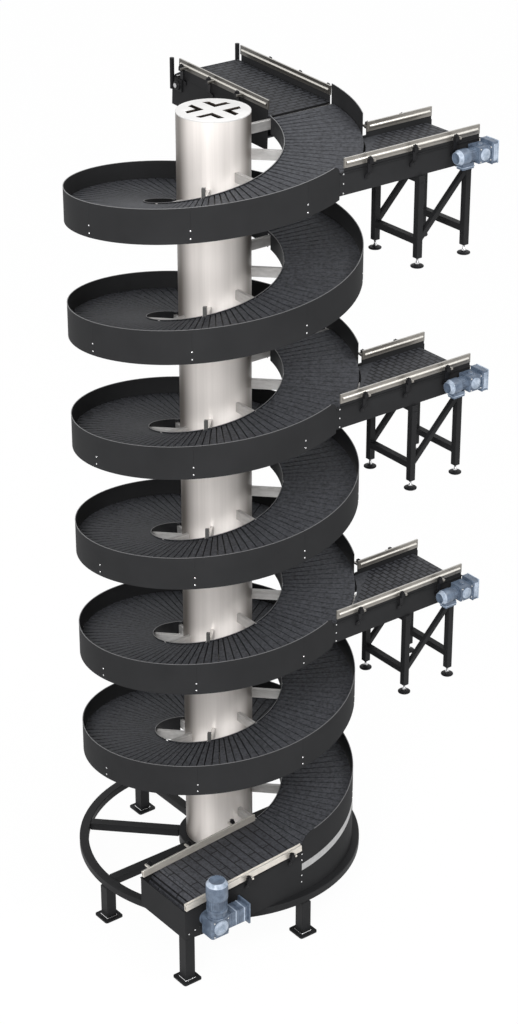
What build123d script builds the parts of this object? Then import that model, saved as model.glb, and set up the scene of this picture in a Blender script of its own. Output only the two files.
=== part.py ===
from build123d import *
import os
from math import asin, atan, cos, degrees, hypot, pi, radians, sin, sqrt, tan

os.makedirs("parts", exist_ok=True)

# Spiral conveyor, sizes in millimetres. Z is up, the origin is on the column axis at the floor.
# The infeed runs along +X on the -Y side, the branches leave along +X, the outfeed leaves along +Y.

# Helical track
track_pitch = 716.0
turns = 6.25
start_angle = -90.0
start_level = 603.0
sheet = 4.0
fit_gap = 0.3
seat_gap = 0.05
panel_gap = 0.6

# Column, arms and curved sheets
column_radius = 217.0
column_wall = 6.0
column_top = 5187.0
cap_thickness = 8.0
chevron_apex = 53.0
chevron_width = 36.0
chevron_reach = 160.0
inner_sheet_radius = 404.0
inner_rise = 6.0
guard_radius = 866.0
guard_rise = 109.0
side_drop = 98.0
guard_corner = 100.0
gap_corner = 50.0
arm_step = 45.0
arm_width = 25.0
arm_height = 60.0
flange_width = 50.0
flange_height = 64.0
flange_thickness = 5.0
post_width = 22.0
post_depth = 20.0
post_rise = 55.0
post_angle = 225.0

# Slats of the helical chain
slats_per_turn = 90
slat_gap = 0.6
slat_edge_gap = 8.0
keel_depth = 14.0

# Base frame
hub_lip = 48.0
hub_bottom = 230.0
hub_top = 300.0
ring_offset = 17.0
frame_width = 60.0
frame_bottom = 240.0
frame_depth = 50.0
spoke_count = 8
leg_size = 70.0
leg_count = 4
foot_size = 133.0
foot_thickness = 12.0
foot_corner = 15.0
anchor_radius = 7.0
anchor_offset = 51.0
skirt_span = 90.0
band_height = 50.0

# Infeed
infeed_slope = 0.0785
infeed_length = 908.0
infeed_plate_bottom = 290.0
infeed_knee = 430.0
infeed_nose_bottom = 322.0
plate_lip = 5.0
end_plate_top = 527.0
slat_pitch = 60.0
slat_thickness = 10.0
head_inset = 158.0
wrap_radius = 108.0
head_shaft_radius = 20.0
sprocket_teeth = 10
sprocket_width = 30.0
sprocket_shares = (0.2, 0.5, 0.8)
tooth_height = 12.0
cross_tube_shares = (0.18, 0.5, 0.78)
wear_strip_shares = (0.25, 0.75)
lip_width = 8.0
leg_inset = 39.0
infeed_rail_height = 50.0
infeed_rail_width = 20.0
infeed_rail_wall = 3.0
infeed_rail_lift = 6.0
infeed_rail_step = 8.0
infeed_rail_flange = 5.0
shaft_overhang = 36.0
mount_gap = 14.0
infeed_near_stations = (-650.0, -443.0, -103.0)
infeed_far_stations = (170.0, 510.0)
infeed_far_last = 93.0
far_rail_inset = 12.0
rail_end_gap = 5.0

# Branches
branch_turns = (2, 4, 6)
branch_angle = -50.0
branch_near_inset = 36.0
branch_spacing = 420.0
branch_reach = 424.0
branch_plate_top = 13.0
branch_plate_bottom = -123.0
branch_belt = 8.0
branch_wrap = 52.0
nose_gap = 15.0
transfer_thickness = 6.0
bed_thickness = 3.0
branch_tube = 30.0
branch_shaft_radius = 15.0
belt_side_gap = 1.5
rail_start_gap = 30.0
branch_near_insets = (849.0, 519.0, 212.0)
branch_far_insets = (202.0, 463.0)

# Side rails and their brackets
rail_lift = 36.0
rail_height = 57.0
rail_thickness = 10.0
bead_radius = 12.0
bead_height = 26.0
bead_setback = 15.0
rail_rod = 12.0
rod_reach = 52.0
rod_level = 58.0
strap_width = 28.0
strap_thickness = 8.0
strap_offset = 22.0
strap_foot = 54.0
strap_bend = 20.0
clamp_over = 8.0
clamp_depth = 24.0
clamp_height = 26.0
knob_radius = 14.0
knob_height = 12.0

# Stands under the branches
stand_leg = 40.0
stand_back_inset = 25.0
stand_front_inset = 89.0
stand_far_inset = 40.0
stand_foot_drop = 678.0
stand_leg_gap = 55.0
stand_rail_lift = 138.0
brace_width = 30.0
pad_radius = 40.0
pad_height = 12.0
stud_radius = 8.0
stud_depth = 45.0
foot_travel = 15.0
brace_height = 45.0

# Outfeed
outfeed_slope = 0.05
outfeed_length = 960.0
outfeed_plate_height = 187.0
outfeed_plate_top = -26.0
outfeed_wrap = 70.0
tail_teeth = 6
tail_shaft_radius = 15.0
outfeed_rail_setback = 70.0
out_tube_shares = (0.25, 0.7)
out_near_first = 135.0
out_near_others = (-550.0, -270.0)
out_far_stations = (86.0, 352.0, 645.0)
end_post_radius = 14.0
end_post_inset = 16.0
end_post_low = -60.0
end_post_height = 190.0
bearing_flange = 76.0
bearing_thickness = 14.0
bearing_fit = 0.05
bearing_boss = 30.0

# Gearmotors
motor_radius = 69.0
motor_length = 178.0
dome_height = 26.0
dome_radius = 50.0
gearbox_size = 134.0
gearbox_depth = 116.0
adapter_length = 57.0
adapter_radius = 55.0
motor_setback = 76.0
cowl_step = 4.0
cowl_share = 0.48
branch_motor_radius = 46.0
branch_motor_length = 110.0
branch_dome_inset = 14.0
branch_box = 96.0
branch_cover_width = 106.0
branch_cover_height = 130.0
branch_cover_depth = 50.0
main_box_shift = 19.0
main_box_drop = 19.0
stage_length = 147.0
stage_width = 90.0
stage_height = 104.0
stage_lift = 74.0
stage_flange_width = 116.0
stage_flange_height = 145.0
spigot_radius = 38.0
terminal_length = 88.0
terminal_width = 55.0
terminal_depth = 37.0
terminal_setback = 60.0

# Derived places
guard_outside = guard_radius + sheet
branch_near_y = branch_near_inset - guard_radius
branch_far_y = branch_near_y + branch_spacing
branch_end_x = guard_outside + branch_reach
nose_distance = guard_outside + nose_gap
ring_radius = guard_outside + ring_offset
hub_radius = column_radius + hub_lip
infeed_leg_x = leg_inset - infeed_length
head_shaft_x = head_inset - infeed_length
stand_back_x = guard_outside - stand_back_inset
stand_front_x = branch_end_x - stand_front_inset
stand_near_y = branch_near_y
stand_far_y = branch_far_y - stand_far_inset
outfeed_rail_end = outfeed_length - outfeed_rail_setback
end_post_y = outfeed_length - end_post_inset
out_near_stations = (out_near_first - outfeed_length, *out_near_others)
guard_middle = guard_radius + sheet / 2
inner_outside = inner_sheet_radius + sheet
slat_inner = inner_outside + slat_gap
slat_outer = guard_radius - slat_edge_gap
slat_step = 360.0 / slats_per_turn
end_angle = start_angle + 360.0 * turns
mid_slope = track_pitch / (pi * (slat_inner + slat_outer))
arm_drop = keel_depth + arm_width / 2 * track_pitch / (2 * pi * slat_outer) + fit_gap
arm_end = sqrt((guard_radius - seat_gap) ** 2 - (flange_width / 2) ** 2) - flange_thickness - seat_gap
frame_top = frame_bottom + frame_depth


def belt_level(angle):
    """Height of the carrying surface at an unwound angle in degrees."""
    return start_level + track_pitch * (angle - start_angle) / 360


def on_track(angle):
    """Place on the helix: turned by the angle and lifted to the belt there."""
    return Location((0, 0, belt_level(angle)), (0, 0, angle))


def rolled_panel(inside, low, high, span):
    """Sheet of a helical wall that starts at angle zero with the belt at height zero."""
    with BuildPart() as panel:
        with BuildLine() as edge:
            Helix(pitch=track_pitch, height=track_pitch * span / 360, radius=inside + sheet / 2)
        with BuildSketch(Plane.XZ):
            with Locations((inside + sheet / 2, (low + high) / 2)):
                Rectangle(sheet, high - low)
        sweep(path=edge.wires()[0], is_frenet=True)
    return panel.part


def round_corner(panel, angle, radius, ahead):
    """Round the top corner of a guard panel, at its start when ahead is 1, at its end when -1."""
    depth = radius * radius / guard_radius
    turn = Vector(cos(radians(angle)), sin(radians(angle)), 0)
    face = Plane(
        origin=turn * (guard_radius - depth) + Vector(0, 0, track_pitch * angle / 360),
        x_dir=(-turn.Y, turn.X, 0),
        z_dir=turn,
    )
    centre = guard_rise - radius + ahead * radius * track_pitch / (2 * pi * guard_middle)
    with BuildPart() as trimmed:
        add(panel)
        with BuildSketch(face):
            with Locations((ahead * (radius - sheet) / 2, centre + radius)):
                Rectangle(radius + sheet, 2 * radius)
            with Locations((ahead * radius, centre)):
                Circle(radius, mode=Mode.SUBTRACT)
        extrude(amount=depth + 3 * sheet, mode=Mode.SUBTRACT)
    return trimmed.part


def row(part, places):
    """Copies of one piece, each a solid of its own."""
    return Compound([place * part for place in places])


# Column with its cap
with BuildPart() as column_tube:
    with BuildSketch(Plane.XY.offset(hub_top)):
        Circle(column_radius)
        Circle(column_radius - column_wall, mode=Mode.SUBTRACT)
    extrude(amount=column_top - hub_top)

# Four chevron cut-outs in the cap: each is the square in front of its apex less a smaller square
apex_side = chevron_apex / sqrt(2)
with BuildSketch() as chevrons:
    for quarter in range(4):
        with Locations(Location((0, 0), 90 * quarter)):
            with Locations((apex_side, apex_side)):
                Rectangle(chevron_reach, chevron_reach, align=(Align.MIN, Align.MIN))
    for quarter in range(4):
        with Locations(Location((0, 0), 90 * quarter)):
            with Locations((apex_side + chevron_width, apex_side + chevron_width)):
                Rectangle(chevron_reach, chevron_reach, align=(Align.MIN, Align.MIN), mode=Mode.SUBTRACT)
    Circle(chevron_reach, mode=Mode.INTERSECT)
with BuildPart() as column_cap:
    with BuildSketch(Plane.XY.offset(column_top)):
        Circle(column_radius)
        add(chevrons.sketch, mode=Mode.SUBTRACT)
    extrude(amount=cap_thickness)

# Base frame
with BuildPart() as base_hub:
    with BuildSketch(Plane.XY.offset(hub_bottom)):
        Circle(hub_radius)
    extrude(amount=hub_top - hub_bottom)

with BuildPart() as base_ring:
    with BuildSketch(Plane.XY.offset(frame_bottom)):
        Circle(ring_radius + frame_width / 2)
        Circle(ring_radius - frame_width / 2, mode=Mode.SUBTRACT)
    extrude(amount=frame_depth)

ring_inside = ring_radius - frame_width / 2
spoke_end = sqrt(ring_inside**2 - (frame_width / 2) ** 2)
with BuildPart() as base_spokes:
    with BuildSketch(Plane.XY.offset(frame_bottom)):
        with PolarLocations(hub_radius, spoke_count):
            Rectangle(spoke_end - hub_radius, frame_width, align=(Align.MIN, Align.CENTER))
    extrude(amount=frame_depth)

with BuildPart() as base_legs:
    with BuildSketch(Plane.XY.offset(foot_thickness)):
        with PolarLocations(ring_radius, leg_count):
            Rectangle(leg_size, leg_size)
    extrude(amount=frame_bottom - foot_thickness)

with BuildPart() as foot_plates:
    with BuildSketch():
        with PolarLocations(ring_radius, leg_count):
            RectangleRounded(foot_size, foot_size, foot_corner)
            with Locations((anchor_offset, 0), (-anchor_offset, 0)):
                Circle(anchor_radius, mode=Mode.SUBTRACT)
        with Locations((infeed_leg_x, -guard_radius + leg_size / 2)):
            RectangleRounded(foot_size, foot_size, foot_corner)
            with Locations((anchor_offset, 0), (-anchor_offset, 0)):
                Circle(anchor_radius, mode=Mode.SUBTRACT)
    extrude(amount=foot_thickness)

# Arms from the column to the guard, one every arm step
arm_angles = [start_angle + arm_step * n for n in range(int((end_angle - start_angle) / arm_step) + 1)]
with BuildPart() as arm:
    with BuildSketch(Plane.XY.offset(-arm_drop)):
        with Locations((column_radius + seat_gap, 0)):
            Rectangle(arm_end - column_radius - seat_gap, arm_width, align=(Align.MIN, Align.CENTER))
    extrude(amount=-arm_height)
with BuildPart() as arm_flange:
    with BuildSketch(Plane.YZ.offset(arm_end + seat_gap)):
        with Locations((0, -arm_drop - arm_height / 2)):
            Rectangle(flange_width, flange_height)
    extrude(amount=flange_thickness)
with BuildPart() as support_arms:
    add(row(arm.part, [on_track(angle) for angle in arm_angles]))
    add(row(arm_flange.part, [on_track(angle) for angle in arm_angles]))

with BuildPart() as post:
    with BuildSketch(Plane.XY.offset(-arm_drop)):
        with Locations((inner_sheet_radius - sheet - post_depth / 2, 0)):
            Rectangle(post_depth, post_width)
    extrude(amount=arm_drop + post_rise)
with BuildPart() as guide_posts:
    add(row(post.part, [on_track(angle) for angle in arm_angles if (angle - post_angle) % 360 == 0]))

# Inner track sheet, one panel between each pair of arms
arm_half = degrees(asin((arm_width / 2 + fit_gap) / inner_sheet_radius))
inner_panel = rolled_panel(inner_sheet_radius, -side_drop, inner_rise, arm_step - 2 * arm_half)
with BuildPart() as inner_track_sheets:
    add(row(inner_panel, [on_track(angle + arm_half) for angle in arm_angles[:-1]]))

# Outer guard: panels that meet on the arms and stop at the branch openings
joint_half = degrees(panel_gap / 2 / guard_middle)
near_angle = degrees(asin(branch_near_y / guard_middle))
far_angle = degrees(asin(branch_far_y / guard_middle))
full_panel = rolled_panel(guard_radius, -side_drop, guard_rise, arm_step - 2 * joint_half)
before_span = near_angle + 2 * arm_step - 2 * joint_half
before_panel = rolled_panel(guard_radius, -side_drop, guard_rise, before_span)
after_panel = rolled_panel(guard_radius, -side_drop, guard_rise, -far_angle - 2 * joint_half)
openings = [(360.0 * k + near_angle, 360.0 * k + far_angle) for k in branch_turns]
guard_pieces = []
for angle in arm_angles[:-1]:
    begins = [o for o in openings if angle < o[0] < angle + arm_step]
    ends = [o for o in openings if angle < o[1] < angle + arm_step]
    if begins:
        cut = round_corner(before_panel, before_span, gap_corner, -1)
        guard_pieces.append(on_track(angle + joint_half) * cut)
    elif ends:
        guard_pieces.append(on_track(ends[0][1] + joint_half) * after_panel)
    elif angle == start_angle:
        guard_pieces.append(on_track(angle + joint_half) * round_corner(full_panel, 0, guard_corner, 1))
    else:
        guard_pieces.append(on_track(angle + joint_half) * full_panel)
with BuildPart() as guard_panels:
    add(Compound(guard_pieces))

# Helical slats: wedges with a V section, every face flat, with the keel running up to the narrow end
tilt = atan(mid_slope)
half_inner, half_outer = (
    (radius * tan(radians(slat_step / 2)) - slat_gap / 2) / cos(tilt) for radius in (slat_inner, slat_outer)
)
with BuildPart() as slat:
    with BuildSketch():
        Polygon(
            (slat_inner, -half_inner),
            (slat_outer, -half_outer),
            (slat_outer, half_outer),
            (slat_inner, half_inner),
            align=None,
        )
    extrude(amount=-keel_depth)
    for side in (1, -1):
        edge = Vector(slat_outer - slat_inner, side * (half_outer - half_inner), 0)
        flank = Vector(0, side * half_outer, keel_depth).cross(edge)
        split(bisect_by=Plane(origin=(slat_outer, side * half_outer, 0), z_dir=flank * side), keep=Keep.BOTTOM)
slat_count = int(360 * turns / slat_step)
with BuildPart() as helix_slats:
    lean = Location((0, 0, 0), (degrees(tilt), 0, 0))
    add(row(slat.part, [on_track(start_angle + slat_step * (n + 0.5)) * lean for n in range(slat_count)]))

# Skirt and band under the first quarter turn
band_low = -side_drop - fit_gap - band_height
band_panel = rolled_panel(guard_radius, band_low, -side_drop - fit_gap, skirt_span - 2 * joint_half)
with BuildPart() as skirt_band:
    add(on_track(start_angle + joint_half) * band_panel)
skirt_low = frame_top + fit_gap - start_level
skirt_panel = rolled_panel(guard_radius, skirt_low - track_pitch, band_low - fit_gap, skirt_span - 2 * joint_half)
with BuildPart() as lower_skirt:
    add(on_track(start_angle + joint_half) * skirt_panel)
    with BuildSketch(Plane.XY.offset(frame_top + fit_gap)):
        Circle(guard_outside + frame_width)
    extrude(amount=-2 * track_pitch, mode=Mode.SUBTRACT)


# Infeed: side plates with wear strips and cross tubes, set along the slope of the belt
rise_angle = degrees(atan(infeed_slope))
far_plate_end = -arm_width / 2 - fit_gap
plate_start_top = start_level - plate_lip
plate_end_top = start_level - plate_lip - infeed_slope * infeed_length
channel_near = -guard_outside + sheet
channel_far = -inner_outside
near_edge = channel_near + slat_edge_gap
far_edge = channel_far - slat_gap
slat_span = far_edge - near_edge
head_z = start_level + infeed_slope * head_shaft_x - wrap_radius / cos(radians(rise_angle))
strand_length = -head_shaft_x / cos(radians(rise_angle)) + wrap_radius * tan(radians(rise_angle))
gearbox_face = channel_near - sheet - mount_gap
far_shaft_end = channel_far + sheet + shaft_overhang
wrap_inside = wrap_radius - slat_thickness

lip_drop = sheet / cos(radians(rise_angle))
with BuildPart() as infeed_side_plates:
    for inner_face, end_x, outward in (
        (channel_near, -fit_gap, channel_near - sheet - lip_width),
        (channel_far + sheet, far_plate_end, channel_far + sheet + lip_width),
    ):
        with BuildSketch(Plane.XZ.offset(-inner_face)):
            Polygon(
                (-infeed_length, infeed_nose_bottom),
                (-infeed_knee, infeed_plate_bottom + fit_gap),
                (end_x, infeed_plate_bottom + fit_gap),
                (end_x, plate_start_top + infeed_slope * end_x),
                (-infeed_length, plate_end_top),
                align=None,
            )
            with Locations((head_shaft_x, head_z)):
                Circle(head_shaft_radius + fit_gap, mode=Mode.SUBTRACT)
        extrude(amount=sheet)
        with BuildSketch(Plane.XZ.offset(-max(inner_face, outward))):
            Polygon(
                (-infeed_length, plate_end_top - lip_drop),
                (end_x, plate_start_top + infeed_slope * end_x - lip_drop),
                (end_x, plate_start_top + infeed_slope * end_x),
                (-infeed_length, plate_end_top),
                align=None,
            )
        extrude(amount=sheet + lip_width)
    belt_plane = Plane(origin=(0, 0, start_level), x_dir=(-1, 0, -infeed_slope), z_dir=(0, 1, 0))
    for share in cross_tube_shares:
        with BuildSketch(belt_plane.offset(channel_near + seat_gap)):
            with Locations((-head_shaft_x * share, -slat_thickness - fit_gap - seat_gap - branch_tube)):
                Rectangle(branch_tube, branch_tube)
        extrude(amount=channel_far - channel_near - 2 * seat_gap)
    for share in wear_strip_shares:
        with BuildSketch(belt_plane.offset(near_edge + slat_span * share)):
            with Locations((arm_width, -slat_thickness - fit_gap)):
                Rectangle(-head_shaft_x - wrap_radius, branch_tube / 2, align=(Align.MIN, Align.MAX))
        extrude(amount=branch_tube)

with BuildPart() as infeed_end_plate:
    with BuildSketch(Plane.YZ.offset(-infeed_length + fit_gap)):
        with Locations(((channel_near + channel_far) / 2, infeed_nose_bottom)):
            Rectangle(
                channel_far - channel_near - 2 * fit_gap,
                end_plate_top - infeed_nose_bottom,
                align=(Align.CENTER, Align.MIN),
            )
    extrude(amount=sheet)

strand_count = round(strand_length / slat_pitch)
strand_pitch = strand_length / strand_count
with BuildPart() as flat_slat:
    with BuildSketch(Plane.XZ.offset(-far_edge)):
        with Locations((0, -slat_thickness)):
            Rectangle(strand_pitch - slat_gap, slat_thickness, align=(Align.CENTER, Align.MIN))
    extrude(amount=slat_span)
wrap_places = []
for n in range(sprocket_teeth // 2):
    turn = (n + 0.5) * 360 / sprocket_teeth
    spot = Location((head_shaft_x, 0, head_z), (0, -turn - rise_angle, 0))
    wrap_places.append(spot * Location((0, 0, wrap_radius)))
head = Location((head_shaft_x, 0, head_z), (0, -rise_angle, 0))
strand_places = [head * Location(((n + 0.5) * strand_pitch, 0, wrap_radius)) for n in range(strand_count)]
with BuildPart() as infeed_slats:
    add(row(flat_slat.part, strand_places + wrap_places))
    with BuildSketch(Plane.XZ.offset(-far_edge)):
        Polygon(
            (head_shaft_x, head_z - wrap_radius),
            (far_plate_end, head_z - wrap_radius - head_shaft_x * infeed_slope),
            (far_plate_end, head_z - wrap_inside - head_shaft_x * infeed_slope),
            (head_shaft_x, head_z - wrap_inside),
            align=None,
        )
    extrude(amount=slat_span)

with BuildPart() as infeed_leg:
    with BuildSketch(Plane.XY.offset(foot_thickness)):
        with Locations((infeed_leg_x, channel_near + leg_size / 2)):
            Rectangle(leg_size, leg_size)
    extrude(amount=infeed_nose_bottom - foot_thickness - 2 * fit_gap)

# Head shaft with three toothed sprockets
sprocket_root = wrap_inside - 3 * fit_gap - tooth_height
with BuildPart() as infeed_drive_shaft:
    with BuildSketch(Plane.XZ.offset(-far_shaft_end)):
        with Locations((head_shaft_x, head_z)):
            Circle(head_shaft_radius)
    extrude(amount=far_shaft_end - gearbox_face - fit_gap)
    for share in sprocket_shares:
        with BuildSketch(Plane.XZ.offset(-near_edge - slat_span * share - sprocket_width / 2)):
            with Locations((head_shaft_x, head_z)):
                RegularPolygon(sprocket_root, 2 * sprocket_teeth)
                with PolarLocations(sprocket_root - tooth_height / 2, sprocket_teeth, start_angle=90):
                    Rectangle(1.5 * tooth_height, 1.5 * tooth_height, align=(Align.MIN, Align.CENTER))
        extrude(amount=sprocket_width)

# Rails, their rods and the brackets that clamp them
def bracket(rod_height):
    """Strap and clamp block outside a side plate: +Y is into the channel, X along the belt."""
    top = rod_height + clamp_over
    with BuildPart() as made:
        with BuildSketch(Plane.YZ.offset(-strap_width / 2)):
            Polygon(
                (-seat_gap, -strap_foot),
                (-strap_thickness, -strap_foot),
                (-strap_thickness, -strap_foot + strap_bend),
                (-strap_offset - strap_thickness, -strap_foot + strap_bend + strap_offset),
                (-strap_offset - strap_thickness, top - clamp_height),
                (-strap_offset - clamp_depth, top - clamp_height),
                (-strap_offset - clamp_depth, top),
                (-strap_offset, top),
                (-strap_offset, -strap_foot + strap_bend + strap_offset),
                (-seat_gap, -strap_foot + strap_bend),
                align=None,
            )
        extrude(amount=strap_width)
    return made.part


def clamp_knob(rod_height):
    """Knob on top of a clamp block."""
    with BuildPart() as made:
        with BuildSketch(Plane.XY.offset(rod_height + clamp_over + seat_gap)):
            with Locations((0, -strap_offset - clamp_depth / 2)):
                RegularPolygon(knob_radius, 8)
        extrude(amount=knob_height)
    return made.part


def rail_rods(back, rod_height, stations):
    """Square rods from the back of a rail out past the clamp blocks."""
    side = strap_width / 2 + fit_gap + rail_rod / 2
    with BuildPart() as made:
        with BuildSketch(Plane.XZ.offset(-back)):
            with Locations(*[(station + side, rod_height) for station in stations]):
                Rectangle(rail_rod, rail_rod)
        extrude(amount=rod_reach + back)
    return made.part


def bead_rail(begin, end, stations):
    """Flat rail with a half-round bead on both faces, hung over its side plate."""
    rods = rail_rods(sheet / 2, rod_level, stations)
    with BuildPart() as made:
        with BuildSketch(Plane.YZ.offset(begin)):
            with Locations((sheet / 2, rail_lift + rail_height / 2)):
                Rectangle(rail_thickness, rail_height)
        extrude(amount=end - begin)
        with BuildSketch(Plane.YZ.offset(begin + bead_setback)):
            with Locations((sheet / 2, rail_lift + bead_height)):
                Circle(bead_radius)
        extrude(amount=end - begin - 2 * bead_setback)
        add(rods)
    return made.part


def tube_rail(begin, end, inset, stations):
    """Hollow rail with open ends, whose top steps up to a narrow flange on the channel side."""
    rods = rail_rods(inset + sheet / 2 - infeed_rail_width / 2, infeed_rod_level, stations)
    with BuildPart() as made:
        with BuildSketch(Plane.YZ.offset(begin)):
            with Locations((inset + (sheet - infeed_rail_width) / 2, infeed_rail_lift)):
                Rectangle(
                    infeed_rail_width, infeed_rail_height - infeed_rail_step, align=(Align.MIN, Align.MIN)
                )
                with Locations((infeed_rail_wall, infeed_rail_wall)):
                    Rectangle(
                        infeed_rail_width - infeed_rail_wall - infeed_rail_flange,
                        infeed_rail_height - infeed_rail_step - 2 * infeed_rail_wall,
                        align=(Align.MIN, Align.MIN),
                        mode=Mode.SUBTRACT,
                    )
            with Locations((inset + (sheet + infeed_rail_width) / 2, infeed_rail_lift)):
                Rectangle(infeed_rail_flange, infeed_rail_height, align=(Align.MAX, Align.MIN))
        extrude(amount=end - begin)
        add(rods)
    return made.part


infeed_rod_level = infeed_rail_lift + infeed_rail_height / 2
slope_turn = (0, -rise_angle, 0)
half_turn = Location((0, 0, 0), (0, 0, 180))
infeed_near = Location((0, -guard_outside, start_level), slope_turn)
infeed_far = Location((0, -inner_sheet_radius, start_level), slope_turn) * half_turn
far_stations = (*infeed_far_stations, infeed_length - infeed_far_last)
with BuildPart() as infeed_rail_near:
    add(infeed_near * tube_rail(-infeed_length + sheet, -rail_end_gap, 0, infeed_near_stations))
with BuildPart() as infeed_rail_far:
    add(
        infeed_far
        * tube_rail(rail_end_gap + arm_width, infeed_length - sheet, far_rail_inset, far_stations)
    )

# Outfeed: the same channel turned to leave along +Y
out_angle = degrees(atan(outfeed_slope))
out_level = belt_level(end_angle)
out_turn = Location((0, 0, out_level), (0, 0, 90)) * Location((0, 0, 0), (0, -out_angle, 0))
out_start = arm_width / 2 + fit_gap
out_shaft = outfeed_length - outfeed_wrap - rail_end_gap
out_inside = outfeed_wrap - slat_thickness
with BuildPart() as outfeed_plates_flat:
    for inner_face in (-guard_radius, -inner_sheet_radius):
        with BuildSketch(Plane.XZ.offset(-inner_face)):
            with Locations((out_start if inner_face > -guard_radius else fit_gap, outfeed_plate_top)):
                Rectangle(
                    outfeed_length - out_start, outfeed_plate_height, align=(Align.MIN, Align.MAX)
                )
            with Locations((out_shaft, -outfeed_wrap)):
                Circle(tail_shaft_radius + fit_gap, mode=Mode.SUBTRACT)
        extrude(amount=sheet)
    for share in out_tube_shares:
        with BuildSketch(Plane.XZ.offset(inner_outside + seat_gap)):
            with Locations((out_shaft * share, -slat_thickness - fit_gap - seat_gap - branch_tube)):
                Rectangle(branch_tube, branch_tube)
        extrude(amount=guard_radius - inner_outside - 2 * seat_gap)
    for share in wear_strip_shares:
        with BuildSketch(Plane.XZ.offset(slat_inner + slat_span * share)):
            with Locations((arm_width, -slat_thickness - fit_gap)):
                Rectangle(out_shaft - outfeed_wrap - arm_width, branch_tube / 2, align=(Align.MIN, Align.MAX))
        extrude(amount=branch_tube)
with BuildPart() as outfeed_side_plates:
    add(out_turn * outfeed_plates_flat.part)

out_count = round(out_shaft / slat_pitch)
out_pitch = out_shaft / out_count
with BuildPart() as out_slat:
    with BuildSketch(Plane.XZ.offset(slat_inner)):
        with Locations((0, -slat_thickness)):
            Rectangle(out_pitch - slat_gap, slat_thickness, align=(Align.CENTER, Align.MIN))
    extrude(amount=slat_span)
out_shaft_place = Location((out_shaft, 0, -outfeed_wrap))
out_places = [Location(((n + 0.5) * out_pitch, 0, 0)) for n in range(out_count)]
out_places += [
    out_shaft_place * Location((0, 0, 0), (0, (n + 0.5) * 360 / tail_teeth, 0)) * Location((0, 0, outfeed_wrap))
    for n in range(tail_teeth // 2)
]
with BuildPart() as outfeed_slats_flat:
    add(row(out_slat.part, out_places))
    with BuildSketch(Plane.XZ.offset(slat_inner)):
        with Locations((out_start, -2 * outfeed_wrap)):
            Rectangle(out_shaft - out_start, slat_thickness, align=(Align.MIN, Align.MIN))
    extrude(amount=slat_span)
with BuildPart() as outfeed_slats:
    add(out_turn * outfeed_slats_flat.part)

with BuildPart() as tail_shaft_flat:
    with BuildSketch(Plane.XZ.offset(inner_sheet_radius - shaft_overhang)):
        with Locations((out_shaft, -outfeed_wrap)):
            Circle(tail_shaft_radius)
    extrude(amount=guard_outside - inner_sheet_radius + 2 * shaft_overhang)
    for share in sprocket_shares:
        with BuildSketch(Plane.XZ.offset(slat_inner + slat_span * share - sprocket_width / 2)):
            with Locations((out_shaft, -outfeed_wrap)):
                RegularPolygon(out_inside - 3 * fit_gap, 2 * tail_teeth)
        extrude(amount=sprocket_width)
with BuildPart() as outfeed_tail_shaft:
    add(out_turn * tail_shaft_flat.part)

out_near = out_turn * Location((0, -inner_sheet_radius, 0)) * half_turn
out_far = out_turn * Location((0, -guard_outside, 0))
with BuildPart() as outfeed_rail_near:
    add(out_near * bead_rail(-outfeed_rail_end, -out_start, out_near_stations))
with BuildPart() as outfeed_rail_far:
    add(out_far * bead_rail(out_start, outfeed_rail_end, out_far_stations))
with BuildPart() as outfeed_end_posts:
    for x in (inner_sheet_radius - end_post_radius - fit_gap, guard_outside + end_post_radius + fit_gap):
        with BuildSketch(Plane.XY.offset(out_level + end_post_low)):
            with Locations((x, end_post_y)):
                Circle(end_post_radius)
        extrude(amount=end_post_height)

# Branches, one per opening in the guard
nose = Vector(cos(radians(branch_angle)), sin(radians(branch_angle)), 0)
drive_x = branch_end_x - branch_wrap
near_start = guard_outside * cos(radians(near_angle)) + fit_gap
far_start = sqrt(guard_outside**2 - (branch_far_y + sheet / 2) ** 2) + fit_gap
near_outer = branch_near_y - sheet / 2
far_outer = branch_far_y + sheet / 2
branch_inside = branch_far_y - branch_near_y - sheet
stand_bottom = -stand_foot_drop
leg_low = stand_bottom + stand_leg_gap
cross_top = branch_plate_bottom - seat_gap
branch_near_stations = [branch_end_x - inset for inset in branch_near_insets]
branch_far_stations = [inset - branch_end_x for inset in branch_far_insets]
branch_names = ("lower", "middle", "upper")
branch_levels = [belt_level(360.0 * k + branch_angle) for k in branch_turns]


def beyond(distance):
    """Plane across the branch whose far side is past a distance from the column axis."""
    return Plane(origin=nose * distance, z_dir=nose)


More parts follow.
